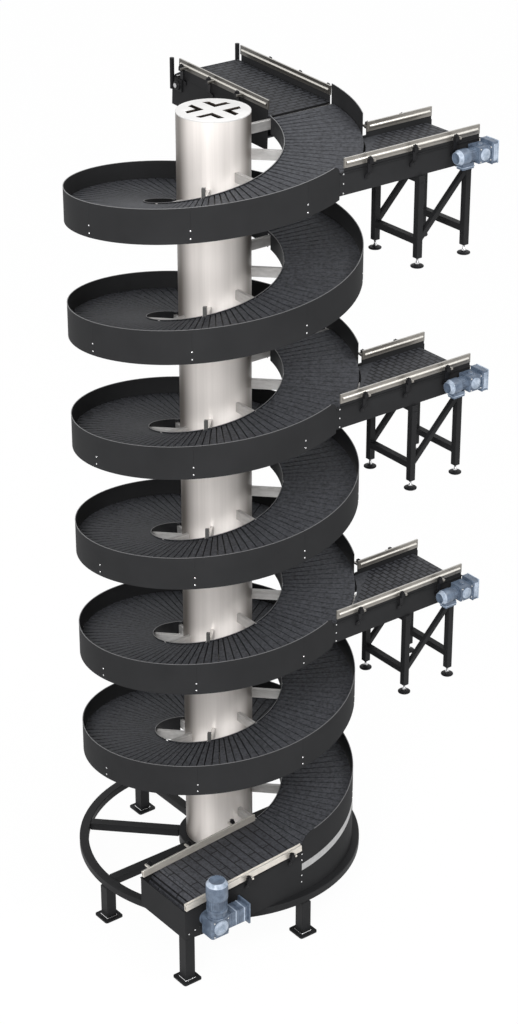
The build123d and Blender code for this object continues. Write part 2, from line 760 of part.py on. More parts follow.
branch_parts = {}
for branch, level in zip(branch_names, branch_levels):
    with BuildPart() as side_plates:
        for start, inner_face in ((near_start, near_outer + sheet), (far_start, far_outer)):
            with BuildSketch(Plane.XZ.offset(-inner_face)):
                with Locations((start, level + branch_plate_bottom)):
                    Rectangle(
                        branch_end_x - start,
                        branch_plate_top - branch_plate_bottom,
                        align=(Align.MIN, Align.MIN),
                    )
                with Locations((drive_x, level - branch_wrap)):
                    Circle(branch_shaft_radius + fit_gap, mode=Mode.SUBTRACT)
            extrude(amount=sheet)
        for start, outer_face in ((near_start, near_outer), (far_start + lip_width, far_outer + lip_width)):
            with BuildSketch(Plane.XZ.offset(-outer_face)):
                with Locations((start, level + branch_plate_top)):
                    Rectangle(branch_end_x - start, sheet, align=(Align.MIN, Align.MAX))
            extrude(amount=lip_width)
        for x in (stand_back_x + frame_width, stand_front_x - 2 * frame_width):
            with BuildSketch(Plane.XZ.offset(-far_outer + sheet + seat_gap)):
                with Locations((x, level - branch_belt - bed_thickness - 2 * fit_gap)):
                    Rectangle(branch_tube, branch_tube, align=(Align.MIN, Align.MAX))
            extrude(amount=branch_inside - 2 * seat_gap)

    with BuildPart() as loop_hollow:
        with BuildSketch(Plane.XZ.offset(-far_outer)):
            with Locations((0, level - branch_wrap)):
                Rectangle(drive_x, 2 * (branch_wrap - branch_belt), align=(Align.MIN, Align.CENTER))
            with Locations((drive_x, level - branch_wrap)):
                Circle(branch_wrap - branch_belt)
        extrude(amount=branch_inside + 2 * sheet)
        split(bisect_by=beyond(nose_distance + fit_gap + branch_belt), keep=Keep.TOP)
    with BuildPart() as belt:
        with BuildSketch(Plane.XZ.offset(-far_outer + sheet + belt_side_gap)):
            with Locations((0, level - branch_wrap)):
                Rectangle(drive_x, 2 * branch_wrap, align=(Align.MIN, Align.CENTER))
            with Locations((drive_x, level - branch_wrap)):
                Circle(branch_wrap)
        extrude(amount=branch_inside - 2 * belt_side_gap)
        split(bisect_by=beyond(nose_distance + fit_gap), keep=Keep.TOP)
        add(loop_hollow.part, mode=Mode.SUBTRACT)

    with BuildPart() as bed:
        with BuildSketch(Plane.XZ.offset(-far_outer + sheet + fit_gap)):
            with Locations((0, level - branch_belt - fit_gap)):
                Rectangle(drive_x - branch_wrap, bed_thickness, align=(Align.MIN, Align.MAX))
        extrude(amount=branch_inside - 2 * fit_gap)
        split(bisect_by=beyond(nose_distance + 2 * fit_gap + branch_belt), keep=Keep.TOP)
    with BuildPart() as transfer:
        with BuildSketch(Plane.XZ.offset(-far_outer + sheet + fit_gap)):
            with Locations((0, level)):
                Rectangle(branch_end_x, transfer_thickness, align=(Align.MIN, Align.MAX))
        extrude(amount=branch_inside - 2 * fit_gap)
        split(bisect_by=beyond(nose_distance), keep=Keep.BOTTOM)
        with BuildSketch(Plane.XY.offset(level + sheet)):
            Circle(guard_outside + fit_gap)
        extrude(amount=-2 * transfer_thickness - sheet, mode=Mode.SUBTRACT)
    with BuildPart() as belt_bed:
        add(bed.part)
        add(transfer.part)

    with BuildPart() as stand:
        for x in (stand_back_x, stand_front_x):
            for y in (stand_near_y, stand_far_y):
                with BuildSketch(Plane.XY.offset(level + leg_low)):
                    with Locations((x, y)):
                        Rectangle(stand_leg, stand_leg)
                        RegularPolygon(stud_radius + fit_gap, 8, mode=Mode.SUBTRACT)
                extrude(amount=stud_depth)
                with BuildSketch(Plane.XY.offset(level + leg_low + stud_depth)):
                    with Locations((x, y)):
                        Rectangle(stand_leg, stand_leg)
                extrude(amount=cross_top - stand_leg - leg_low - stud_depth)
            with BuildSketch(Plane.XZ.offset(-far_outer)):
                with Locations((x, level + cross_top)):
                    Rectangle(stand_leg, stand_leg, align=(Align.CENTER, Align.MAX))
            extrude(amount=far_outer - near_outer + stand_leg / 2)
            with BuildSketch(Plane.XZ.offset(-stand_far_y)):
                with Locations((x, level + stand_bottom + stand_rail_lift)):
                    Rectangle(stand_leg, stand_leg, align=(Align.CENTER, Align.MIN))
            extrude(amount=stand_far_y - stand_near_y)
        for y in (stand_near_y, stand_far_y):
            low = level + stand_bottom + stand_rail_lift
            high = level + cross_top - brace_height
            with BuildSketch(Plane.XZ.offset(-y - brace_width / 2)):
                Polygon(
                    (stand_back_x, low),
                    (stand_front_x, high),
                    (stand_front_x, high + brace_height),
                    (stand_back_x, low + brace_height),
                    align=None,
                )
            extrude(amount=brace_width)

    with BuildPart() as levelling_feet:
        for x in (stand_back_x, stand_front_x):
            for y in (stand_near_y, stand_far_y):
                with BuildSketch(Plane.XY.offset(level + stand_bottom)):
                    with Locations((x, y)):
                        RegularPolygon(pad_radius, 16)
                extrude(amount=pad_height)
                with BuildSketch(Plane.XY.offset(level + stand_bottom + pad_height)):
                    with Locations((x, y)):
                        RegularPolygon(stud_radius, 8)
                extrude(amount=stand_leg_gap - pad_height + stud_depth - foot_travel - 2 * fit_gap)

    near_place = Location((0, near_outer, level))
    far_place = Location((0, far_outer, level)) * half_turn
    with BuildPart() as rail_near:
        add(near_place * bead_rail(near_start + rail_start_gap, branch_end_x - sheet, branch_near_stations))
    with BuildPart() as rail_far:
        add(far_place * bead_rail(sheet - branch_end_x, -far_start - rail_start_gap, branch_far_stations))

    with BuildPart() as drive_shaft:
        with BuildSketch(Plane.XZ.offset(-far_outer - shaft_overhang)):
            with Locations((drive_x, level - branch_wrap)):
                Circle(branch_shaft_radius)
        extrude(amount=far_outer - near_outer + shaft_overhang + mount_gap - fit_gap)
        for share in sprocket_shares:
            with BuildSketch(Plane.XZ.offset(-far_outer + sheet + branch_inside * share - sprocket_width / 2)):
                with Locations((drive_x, level - branch_wrap)):
                    RegularPolygon(branch_wrap - branch_belt - fit_gap, 12)
            extrude(amount=sprocket_width)

    branch_parts[branch] = {
        "side_plates": side_plates,
        "belt": belt,
        "belt_bed": belt_bed,
        "stand": stand,
        "levelling_feet": levelling_feet,
        "rail_near": rail_near,
        "rail_far": rail_far,
        "drive_shaft": drive_shaft,
    }

# Brackets and knobs of every rail
tube_bracket = bracket(infeed_rod_level)
tube_knob = clamp_knob(infeed_rod_level)
bead_bracket = bracket(rod_level)
bead_knob = clamp_knob(rod_level)
tube_places = [infeed_near * Location((x, 0, 0)) for x in infeed_near_stations]
tube_places += [infeed_far * Location((x, 0, 0)) for x in far_stations]
bead_places = [out_near * Location((x, 0, 0)) for x in out_near_stations]
bead_places += [out_far * Location((x, 0, 0)) for x in out_far_stations]
for level in branch_levels:
    bead_places += [Location((x, near_outer, level)) for x in branch_near_stations]
    bead_places += [Location((0, far_outer, level)) * half_turn * Location((x, 0, 0)) for x in branch_far_stations]
with BuildPart() as rail_brackets:
    add(row(tube_bracket, tube_places))
    add(row(bead_bracket, bead_places))
with BuildPart() as clamp_knobs:
    add(row(tube_knob, tube_places))
    add(row(bead_knob, bead_places))

# Flange bearings on the free ends of the shafts
def flange_bearing(shaft_radius):
    """Square flange with a round boss, bored for its shaft, standing on a plate along -Y."""
    with BuildPart() as made:
        with BuildSketch(Plane.XZ.offset(seat_gap)):
            Rectangle(bearing_flange, bearing_flange)
            Circle(shaft_radius + bearing_fit, mode=Mode.SUBTRACT)
        extrude(amount=bearing_thickness)
        with BuildSketch(Plane.XZ.offset(seat_gap + bearing_thickness)):
            Circle(bearing_boss)
            Circle(shaft_radius + bearing_fit, mode=Mode.SUBTRACT)
        extrude(amount=bearing_thickness)
    return made.part


with BuildPart() as flange_bearings:
    add(Location((head_shaft_x, far_shaft_end - shaft_overhang, head_z)) * half_turn * flange_bearing(head_shaft_radius))
    for level in branch_levels:
        place = Location((drive_x, far_outer, level - branch_wrap)) * half_turn
        add(place * flange_bearing(branch_shaft_radius))
    add(out_turn * Location((out_shaft, -guard_outside, -outfeed_wrap)) * flange_bearing(tail_shaft_radius))
    add(
        out_turn
        * Location((out_shaft, -inner_sheet_radius, -outfeed_wrap))
        * half_turn
        * flange_bearing(tail_shaft_radius)
    )

# Gearmotors: gearboxes in one node, motors in another
main_box_x = head_shaft_x + main_box_shift
main_box_low = head_z - gearbox_size / 2 - main_box_drop
main_motor_y = gearbox_face - motor_setback
main_motor_low = main_box_low + gearbox_size + adapter_length
with BuildPart() as gearboxes:
    with BuildSketch(Plane.XY.offset(main_box_low)):
        with Locations((main_box_x, gearbox_face - gearbox_depth / 2)):
            RectangleRounded(gearbox_size, gearbox_depth, foot_corner)
    extrude(amount=gearbox_size)
    with BuildSketch(Plane.XY.offset(main_box_low + gearbox_size)):
        with Locations((main_box_x, main_motor_y)):
            Circle(adapter_radius)
    extrude(amount=adapter_length)
    with BuildSketch(Plane.XZ.offset(-gearbox_face)):
        with Locations((head_shaft_x, head_z)):
            Circle(dome_radius)
            Circle(head_shaft_radius + fit_gap, mode=Mode.SUBTRACT)
    extrude(amount=-mount_gap + seat_gap)
    with BuildSketch(Plane.YZ.offset(main_box_x + gearbox_size / 2)):
        with Locations((gearbox_face - gearbox_depth / 2, main_box_low + stage_lift)):
            Rectangle(stage_width, stage_height)
    extrude(amount=stage_length)
    with BuildSketch(Plane.YZ.offset(main_box_x + gearbox_size / 2 + stage_length)):
        with Locations((gearbox_face - gearbox_depth / 2, main_box_low + stage_lift)):
            Rectangle(stage_flange_width, stage_flange_height)
    extrude(amount=foot_thickness)
    for level in branch_levels:
        with BuildSketch(Plane.YZ.offset(drive_x - branch_box / 2)):
            with Locations((near_outer - mount_gap - branch_box / 2, level - branch_wrap)):
                Rectangle(branch_box, branch_box)
        extrude(amount=branch_box)
        with BuildSketch(Plane.YZ.offset(drive_x + branch_box / 2)):
            with Locations((near_outer - mount_gap - branch_box / 2, level - branch_wrap)):
                Rectangle(branch_cover_width, branch_cover_height)
        extrude(amount=branch_cover_depth)
        with BuildSketch(Plane.XZ.offset(-near_outer)):
            with Locations((drive_x, level - branch_wrap)):
                Circle(spigot_radius)
                Circle(branch_shaft_radius + fit_gap, mode=Mode.SUBTRACT)
        extrude(amount=mount_gap)


def motor(radius, length, dome):
    """Motor standing on the origin: barrel, wider fan cowl and its sloping edge."""
    with BuildPart() as made:
        with BuildSketch(Plane.XZ):
            Polygon(
                (0, 0),
                (radius - cowl_step, 0),
                (radius - cowl_step, cowl_share * length),
                (radius, cowl_share * length),
                (radius, length),
                (dome, length + dome_height),
                (0, length + dome_height),
                align=None,
            )
        revolve(axis=Axis.Z)
    return made.part


motor_start = drive_x - branch_box / 2 - seat_gap
branch_motor_y = near_outer - mount_gap - branch_box / 2
branch_motor = motor(branch_motor_radius, branch_motor_length, branch_motor_radius - branch_dome_inset)
with BuildPart() as motor_barrels:
    add(Location((main_box_x, main_motor_y, main_motor_low + seat_gap)) * motor(motor_radius, motor_length, dome_radius))
    for level in branch_levels:
        add(Location((motor_start, branch_motor_y, level - branch_wrap), (0, -90, 0)) * branch_motor)
        with BuildSketch(Plane.XY.offset(level - branch_wrap - terminal_depth)):
            with Locations((motor_start - terminal_setback, branch_motor_y)):
                Rectangle(terminal_length, terminal_width)
        extrude(amount=-terminal_depth)


def write(piece, name):
    """Label one sub-part and write its file."""
    piece.part.label = name
    export_step(piece.part, "parts/" + name + ".step")


write(column_tube, "column_tube")
write(column_cap, "column_cap")
write(base_hub, "base_hub")
write(base_ring, "base_ring")
write(base_spokes, "base_spokes")
write(base_legs, "base_legs")
write(foot_plates, "foot_plates")
write(support_arms, "support_arms")
write(guide_posts, "guide_posts")
write(inner_track_sheets, "inner_track_sheets")
write(guard_panels, "guard_panels")
write(helix_slats, "helix_slats")
write(skirt_band, "skirt_band")
write(lower_skirt, "lower_skirt")

write(infeed_side_plates, "infeed_side_plates")
write(infeed_end_plate, "infeed_end_plate")
write(infeed_slats, "infeed_slats")
write(infeed_leg, "infeed_leg")
write(infeed_drive_shaft, "infeed_drive_shaft")
write(infeed_rail_near, "infeed_rail_near")
write(infeed_rail_far, "infeed_rail_far")
write(outfeed_side_plates, "outfeed_side_plates")
write(outfeed_slats, "outfeed_slats")
write(outfeed_tail_shaft, "outfeed_tail_shaft")
write(outfeed_rail_near, "outfeed_rail_near")
write(outfeed_rail_far, "outfeed_rail_far")
write(outfeed_end_posts, "outfeed_end_posts")
for branch, pieces in branch_parts.items():
    for name, piece in pieces.items():
        write(piece, branch + "_branch_" + name)
write(rail_brackets, "rail_brackets")
write(clamp_knobs, "clamp_knobs")
write(flange_bearings, "flange_bearings")
write(gearboxes, "gearboxes")
write(motor_barrels, "motor_barrels")
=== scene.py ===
import math
import bmesh
import bpy
from mathutils import Matrix, Vector


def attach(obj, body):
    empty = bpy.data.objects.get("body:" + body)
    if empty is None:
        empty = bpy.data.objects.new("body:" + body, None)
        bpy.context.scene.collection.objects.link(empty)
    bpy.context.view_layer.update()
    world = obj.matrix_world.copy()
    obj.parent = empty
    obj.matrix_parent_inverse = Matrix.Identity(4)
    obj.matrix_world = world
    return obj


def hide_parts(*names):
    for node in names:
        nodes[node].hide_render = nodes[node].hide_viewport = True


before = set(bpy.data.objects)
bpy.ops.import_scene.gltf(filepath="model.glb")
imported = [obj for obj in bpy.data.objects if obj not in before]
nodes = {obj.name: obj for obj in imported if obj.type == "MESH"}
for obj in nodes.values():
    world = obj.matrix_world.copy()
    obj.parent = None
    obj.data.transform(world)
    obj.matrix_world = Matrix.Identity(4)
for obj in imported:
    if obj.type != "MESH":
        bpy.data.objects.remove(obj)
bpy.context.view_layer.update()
scene = bpy.context.scene
scene.view_settings.view_transform = "Standard"
print("frame loaded,", len(nodes), "nodes")

spiral = {  # metres and degrees, the helix that everything follows
    "pitch": 0.716,
    "startLevel": 0.603,
    "startAngle": -90.0,
    "turns": 6.25,
    "guardInside": 0.866,
    "guardOutside": 0.870,
    "guardRise": 0.109,
    "sheetInside": 0.404,
    "sheetOutside": 0.408,
    "sheetRise": 0.006,
}
branches = {"lower": 2, "middle": 4, "upper": 6}  # turn that each branch leaves
branchAngle = -50.0


def beltLevel(angle):
    return spiral["startLevel"] + spiral["pitch"] * (angle - spiral["startAngle"]) / 360


def branchLevel(name):
    return beltLevel(360 * branches[name] + branchAngle)


# camera, solved from the column, the ring and the straight channels
camera = bpy.data.objects.new("camera", bpy.data.cameras.new("camera"))
camera.data.lens = 87.635
camera.data.sensor_width = 36
camera.data.clip_end = 100
camera.location = (-8.124, -11.007, 9.543)
camera.rotation_euler = (math.radians(63.2), 0, math.radians(-37.52))
scene.collection.objects.link(camera)
scene.camera = camera

# finishes
def newMaterial(name, colour, rough, metal=0.0):
    mat = bpy.data.materials.new(name)
    mat.use_nodes = True
    shader = mat.node_tree.nodes["Principled BSDF"]
    shader.inputs["Base Color"].default_value = (*colour, 1)
    shader.inputs["Roughness"].default_value = rough
    shader.inputs["Metallic"].default_value = metal
    return mat


def addNode(mat, kind, **values):
    node = mat.node_tree.nodes.new(kind)
    for key, value in values.items():
        if key in node.inputs:
            node.inputs[key].default_value = value
        else:
            setattr(node, key, value)
    return node


def wire(mat, fromSocket, toSocket):
    mat.node_tree.links.new(fromSocket, toSocket)


def shaderOf(mat):
    return mat.node_tree.nodes["Principled BSDF"]


def speckle(mat, scale, low, high, colourA, colourB, stretch=(1, 1, 1), detail=4.0):
    place = addNode(mat, "ShaderNodeTexCoord")
    move = addNode(mat, "ShaderNodeMapping")
    move.inputs["Scale"].default_value = stretch
    noise = addNode(mat, "ShaderNodeTexNoise", Scale=scale, Detail=detail, Roughness=0.6)
    ramp = addNode(mat, "ShaderNodeValToRGB")
    ramp.color_ramp.elements[0].position = low
    ramp.color_ramp.elements[1].position = high
    ramp.color_ramp.elements[0].color = (*colourA, 1)
    ramp.color_ramp.elements[1].color = (*colourB, 1)
    wire(mat, place.outputs["Object"], move.inputs["Vector"])
    wire(mat, move.outputs["Vector"], noise.inputs["Vector"])
    wire(mat, noise.outputs["Fac"], ramp.inputs["Fac"])
    return place, noise, ramp


def bumpFrom(mat, socket, distance, strength=0.5):
    bump = addNode(mat, "ShaderNodeBump", Distance=distance, Strength=strength)
    wire(mat, socket, bump.inputs["Height"])
    wire(mat, bump.outputs["Normal"], shaderOf(mat).inputs["Normal"])
    return bump


def roughFrom(mat, socket, low, high):
    span = addNode(mat, "ShaderNodeMapRange")
    span.inputs["To Min"].default_value = low
    span.inputs["To Max"].default_value = high
    wire(mat, socket, span.inputs["Value"])
    wire(mat, span.outputs["Result"], shaderOf(mat).inputs["Roughness"])


def tintBy(mat, socket):
    shader = shaderOf(mat)
    tint = addNode(mat, "ShaderNodeMix", data_type="RGBA", blend_type="MULTIPLY")
    tint.inputs["Factor"].default_value = 1.0
    wire(mat, shader.inputs["Base Color"].links[0].from_socket, tint.inputs["A"])
    wire(mat, socket, tint.inputs["B"])
    wire(mat, tint.outputs["Result"], shader.inputs["Base Color"])


def colourFrom(mat, ramp):
    wire(mat, ramp.outputs["Color"], shaderOf(mat).inputs["Base Color"])


def powderCoat(name, colour, rough, shine=0.5):
    mat = newMaterial(name, colour, rough)
    shaderOf(mat).inputs["Specular IOR Level"].default_value = shine
    lighter = tuple(c * 1.25 for c in colour)
    place, noise, ramp = speckle(mat, 3.0, 0.3, 0.7, colour, lighter)
    colourFrom(mat, ramp)
    fine = addNode(mat, "ShaderNodeTexNoise", Scale=900.0, Detail=2.0)
    wire(mat, place.outputs["Object"], fine.inputs["Vector"])
    bumpFrom(mat, fine.outputs["Fac"], 0.0004, 0.25)
    roughFrom(mat, noise.outputs["Fac"], rough - 0.05, rough + 0.08)
    return mat


def brushedSteel(name, dark, light, rough, stretch, scale=60.0, metal=1.0):
    mat = newMaterial(name, light, rough, metal)
    _, noise, ramp = speckle(mat, scale, 0.35, 0.65, dark, light, stretch, 6.0)
    colourFrom(mat, ramp)
    roughFrom(mat, noise.outputs["Fac"], rough - 0.06, rough + 0.06)
    bumpFrom(mat, noise.outputs["Fac"], 0.0003, 0.15)
    return mat


def slatPlastic(name, colour, marks=0.55):
    mat = newMaterial(name, colour, 0.6)
    shaderOf(mat).inputs["Specular IOR Level"].default_value = 0.3
    dark = tuple(c * marks for c in colour)
    light = tuple(c * 1.25 for c in colour)
    _, noise, ramp = speckle(mat, 55.0, 0.36, 0.60, dark, light, detail=10.0)
    colourFrom(mat, ramp)
    bumpFrom(mat, noise.outputs["Fac"], 0.002, 0.35)
    roughFrom(mat, noise.outputs["Fac"], 0.5, 0.75)
    return mat


def moduleBelt(name, colour, module, row, seam, turned=True):
    mat = slatPlastic(name, colour)
    place = addNode(mat, "ShaderNodeTexCoord")
    turn = addNode(mat, "ShaderNodeMapping")
    turn.inputs["Rotation"].default_value = (0, 0, math.pi / 2 if turned else 0)
    brick = addNode(mat, "ShaderNodeTexBrick", Scale=1.0)
    brick.inputs["Brick Width"].default_value = module
    brick.inputs["Row Height"].default_value = row
    brick.inputs["Mortar Size"].default_value = seam
    brick.inputs["Mortar Smooth"].default_value = 0.1
    brick.inputs["Color1"].default_value = (1.0, 1.0, 1.0, 1)
    brick.inputs["Color2"].default_value = (0.78, 0.78, 0.80, 1)
    brick.inputs["Mortar"].default_value = (0.07, 0.07, 0.08, 1)
    wire(mat, place.outputs["Object"], turn.inputs["Vector"])
    wire(mat, turn.outputs["Vector"], brick.inputs["Vector"])
    tintBy(mat, brick.outputs["Color"])
    return mat


# painted shade: the colour goes from the middle tone where a surface faces the view to the darker edge tone where it
# turns away
def paintedRimShade(mat, middle, edge):
    weight = addNode(mat, "ShaderNodeLayerWeight", Blend=0.5)
    ramp = addNode(mat, "ShaderNodeValToRGB")
    ramp.color_ramp.interpolation = "EASE"
    ramp.color_ramp.elements[0].position = 0.14
    ramp.color_ramp.elements[0].color = (*middle, 1)
    ramp.color_ramp.elements[1].position = 0.66
    ramp.color_ramp.elements[1].color = (*edge, 1)
    wire(mat, weight.outputs["Facing"], ramp.inputs["Fac"])
    tintBy(mat, ramp.outputs["Color"])
    return mat


def castPaint(name, dark, light, rough):
    mat = newMaterial(name, light, rough)
    _, noise, ramp = speckle(mat, 28.0, 0.38, 0.66, dark, light, detail=3.0)
    colourFrom(mat, ramp)
    bumpFrom(mat, noise.outputs["Fac"], 0.003, 0.35)
    roughFrom(mat, noise.outputs["Fac"], rough - 0.08, rough + 0.12)
    return mat


# rail steel with painted light: faces tilted partly upwards, such as the top of the bead, get a painted highlight,
# flat tops a slightly darker tone, and sideways and downward faces a darker painted tone scaled by plate
def railPaintedHighlight(name, share, plate):
    dark, light = (tuple(c * share for c in tone) for tone in ((0.46, 0.45, 0.43), (0.56, 0.545, 0.52)))
    mat = brushedSteel(name, dark, light, 0.32, (0.25, 1, 1), 90.0, 0.5)
    geometry = addNode(mat, "ShaderNodeNewGeometry")
    split = addNode(mat, "ShaderNodeSeparateXYZ")
    ramp = addNode(mat, "ShaderNodeValToRGB")
    ramp.color_ramp.elements[0].position = 0.08
    ramp.color_ramp.elements[0].color = (0.80 * plate, 0.77 * plate, 0.73 * plate, 1)
    ramp.color_ramp.elements[1].position = 0.45
    ramp.color_ramp.elements[1].color = (1.7, 1.68, 1.62, 1)
    flat = ramp.color_ramp.elements.new(0.93)
    flat.color = (0.85, 0.84, 0.82, 1)
    wire(mat, geometry.outputs["Normal"], split.inputs[0])
    wire(mat, split.outputs["Z"], ramp.inputs["Fac"])
    tintBy(mat, ramp.outputs["Color"])
    return mat


coat = powderCoat("satinBlackCoat", (0.0195, 0.0197, 0.0206), 0.62, 0.05)
frameCoat = powderCoat("frameBlackCoat", (0.0125, 0.0127, 0.0135), 0.48, 0.12)
sheetCoat = powderCoat("trackSheetCoat", (0.013, 0.0135, 0.015), 0.5, 0.15)
postSteel = powderCoat("postGreySteel", (0.085, 0.085, 0.083), 0.42, 0.4)
# column steel with painted shade darkening it towards its left and right edges
columnSteel = paintedRimShade(
    brushedSteel("columnSteel", (0.88, 0.83, 0.79), (0.96, 0.905, 0.865), 0.42, (1, 1, 0.02), 30.0, 0.40),
    (1.0, 1.0, 1.0),
    (0.20, 0.19, 0.18),
)
bandSteel = brushedSteel("bandSteel", (0.40, 0.40, 0.40), (0.48, 0.48, 0.48), 0.45, (1, 1, 0.2), 60.0, 0.7)
armSteel = brushedSteel("armSteel", (0.46, 0.45, 0.44), (0.56, 0.55, 0.54), 0.42, (0.3, 0.3, 1), 60.0, 0.6)
# three copies of the rail steel that differ only in overall tone and in their painted highlight and shade
railSteel = railPaintedHighlight("railSteel", 1.0, 0.6)
channelSteel = railPaintedHighlight("channelSteel", 1.2, 1.3)
upperSteel = railPaintedHighlight("upperRailSteel", 0.9, 0.25)
brightSteel = brushedSteel("brightSteel", (0.62, 0.62, 0.62), (0.85, 0.85, 0.86), 0.22, (1, 1, 1), 200)
shaftSteel = brushedSteel("shaftSteel", (0.35, 0.35, 0.35), (0.55, 0.55, 0.56), 0.3, (1, 0.1, 1))
capPaint = powderCoat("capPaint", (0.58, 0.575, 0.57), 0.55, 0.2)
# dark brown used as painted shade inside the column and in the openings of its cap
shadePaint = powderCoat("columnInsideShade", (0.045, 0.036, 0.030), 0.7, 0.1)
chainPlastic = slatPlastic("chainPlastic", (0.047, 0.049, 0.056), 0.42)
# near-black plastic used as painted shade: the keels in the slat seams and the sheet inside the infeed head
shadeBlackPlastic = slatPlastic("shadeBlackPlastic", (0.0025, 0.0025, 0.003))
beltPlastic = slatPlastic("beltPlastic", (0.046, 0.048, 0.054))
branchBelt = moduleBelt("branchBeltPlastic", (0.050, 0.052, 0.059), 0.062, 0.036, 0.0055)
infeedBelt = moduleBelt("infeedBeltPlastic", (0.048, 0.050, 0.057), 0.34, 0.056, 0.0042)
outfeedBelt = moduleBelt("outfeedBeltPlastic", (0.040, 0.042, 0.048), 0.080, 0.036, 0.0050, False)
motorPaint = castPaint("motorPaint", (0.068, 0.092, 0.133), (0.122, 0.160, 0.218), 0.34)
# a lighter copy of the motor paint on chamfers, rims, covers and every other rib: painted highlight
motorHighlightPaint = castPaint("motorPaintedHighlight", (0.22, 0.27, 0.34), (0.40, 0.46, 0.55), 0.28)
knobPlastic = powderCoat("knobPlastic", (0.007, 0.007, 0.008), 0.42, 0.15)
# lighter grey for the strips on the top edges: a painted highlight
edgeHighlightGrey = newMaterial("paintedEdgeHighlight", (0.17, 0.17, 0.175), 0.45, 0.3)
print("finishes made")


# carried-over nodes: joined corners, soft edges and their finish
def dressNode(name, mat, edge):
    obj = nodes[name]
    obj.data.materials.clear()
    obj.data.materials.append(mat)
    for face in obj.data.polygons:
        face.use_smooth = True
    weld = obj.modifiers.new("weld", "WELD")
    weld.merge_threshold = 0.00002
    if edge:
        bevel = obj.modifiers.new("bevel", "BEVEL")
        bevel.width = edge
        bevel.segments = 1
        bevel.limit_method = "ANGLE"
        bevel.angle_limit = math.radians(50)
        bevel.harden_normals = False
    split = obj.modifiers.new("split", "EDGE_SPLIT")
    split.split_angle = math.radians(32)


dressing = {
    "column_tube": (columnSteel, 0),
    "column_cap": (capPaint, 0.001),
    "base_hub": (frameCoat, 0.002),
    "base_ring": (frameCoat, 0.004),
    "base_spokes": (frameCoat, 0.004),
    "base_legs": (frameCoat, 0.005),
    "foot_plates": (frameCoat, 0.002),
    "support_arms": (armSteel, 0.001),
    "guide_posts": (postSteel, 0.001),
    "inner_track_sheets": (sheetCoat, 0),
    "guard_panels": (coat, 0),
    "lower_skirt": (coat, 0),
    "skirt_band": (bandSteel, 0),
    "infeed_side_plates": (coat, 0),
    "infeed_end_plate": (coat, 0),
    "infeed_slats": (infeedBelt, 0.001),
    "infeed_leg": (frameCoat, 0.005),
    "infeed_drive_shaft": (shaftSteel, 0),
    "infeed_rail_near": (channelSteel, 0.0008),
    "infeed_rail_far": (channelSteel, 0.0008),
    "outfeed_side_plates": (coat, 0),
    "outfeed_slats": (outfeedBelt, 0.001),
    "outfeed_rail_near": (upperSteel, 0.0008),
    "outfeed_rail_far": (upperSteel, 0.0008),
    "outfeed_end_posts": (knobPlastic, 0.002),
    "outfeed_tail_shaft": (shaftSteel, 0),
    "rail_brackets": (knobPlastic, 0.0015),
    "flange_bearings": (frameCoat, 0.002),
    "gearboxes": (motorPaint, 0.004),
}
for name in branches:
    dressing[name + "_branch_side_plates"] = (coat, 0)
    dressing[name + "_branch_belt"] = (branchBelt, 0)
    dressing[name + "_branch_belt_bed"] = (beltPlastic, 0)
    dressing[name + "_branch_stand"] = (frameCoat, 0.003)
    dressing[name + "_branch_rail_near"] = (railSteel, 0.0008)
    dressing[name + "_branch_rail_far"] = (railSteel, 0.0008)
    dressing[name + "_branch_drive_shaft"] = (shaftSteel, 0)
for name, (mat, edge) in dressing.items():
    dressNode(name, mat, edge)
# the side walls of the openings in the cap get the dark shade paint: painted shade inside the openings
cap = nodes["column_cap"].data
cap.materials.append(shadePaint)
for face in cap.polygons:
    if abs(face.normal.z) < 0.3 and face.center.xy.length < 0.21:
        face.material_index = 1
print("nodes dressed,", len(dressing))


# turned and block shapes for the motors, feet and knobs
def addTurned(bm, profile, place, around=40, slotIndex=0):
    rings = []
    for radius, height in profile:
        if radius < 1e-6:
            rings.append([bm.verts.new(place @ Vector((0, 0, height)))])
            continue
        ring = []
        for n in range(around):
            a = 2 * math.pi * n / around
            ring.append(bm.verts.new(place @ Vector((radius * math.cos(a), radius * math.sin(a), height))))
        rings.append(ring)
    made = []
    for low, high in zip(rings, rings[1:]):
        for n in range(around):
            m = (n + 1) % around
            if len(low) == 1:
                made.append(bm.faces.new((low[0], high[n], high[m])))
            elif len(high) == 1:
                made.append(bm.faces.new((low[n], low[m], high[0])))
            else:
                made.append(bm.faces.new((low[n], low[m], high[m], high[n])))
    for face in made:
        face.material_index = slotIndex
        face.smooth = True


def addBlock(bm, low, high, place, edge=0.004, segments=2, slotIndex=0):
    part = bmesh.new()
    bmesh.ops.create_cube(part, size=1)
    size = [high[i] - low[i] for i in range(3)]
    mid = [(high[i] + low[i]) / 2 for i in range(3)]
    bmesh.ops.transform(part, matrix=Matrix.Translation(mid) @ Matrix.Diagonal((*size, 1)), verts=part.verts)
    if edge:
        bmesh.ops.bevel(part, geom=part.edges, offset=edge, segments=segments, affect="EDGES", profile=0.6)
    bmesh.ops.transform(part, matrix=place, verts=part.verts)
    bmesh.ops.recalc_face_normals(part, faces=part.faces)
    for face in part.faces:
        face.material_index = slotIndex
        face.smooth = False
    mesh = bpy.data.meshes.new("block")
    part.to_mesh(mesh)
    part.free()
    bm.from_mesh(mesh)
    bpy.data.meshes.remove(mesh)


def finishPiece(bm, name, mats, body, angle=35):
    bmesh.ops.recalc_face_normals(bm, faces=bm.faces)
    mesh = bpy.data.meshes.new(name)
    bm.to_mesh(mesh)
    bm.free()
    for mat in mats:
        mesh.materials.append(mat)
    piece = bpy.data.objects.new(name, mesh)
    scene.collection.objects.link(piece)
    split = piece.modifiers.new("split", "EDGE_SPLIT")
    split.split_angle = math.radians(angle)
    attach(piece, body)
    return piece


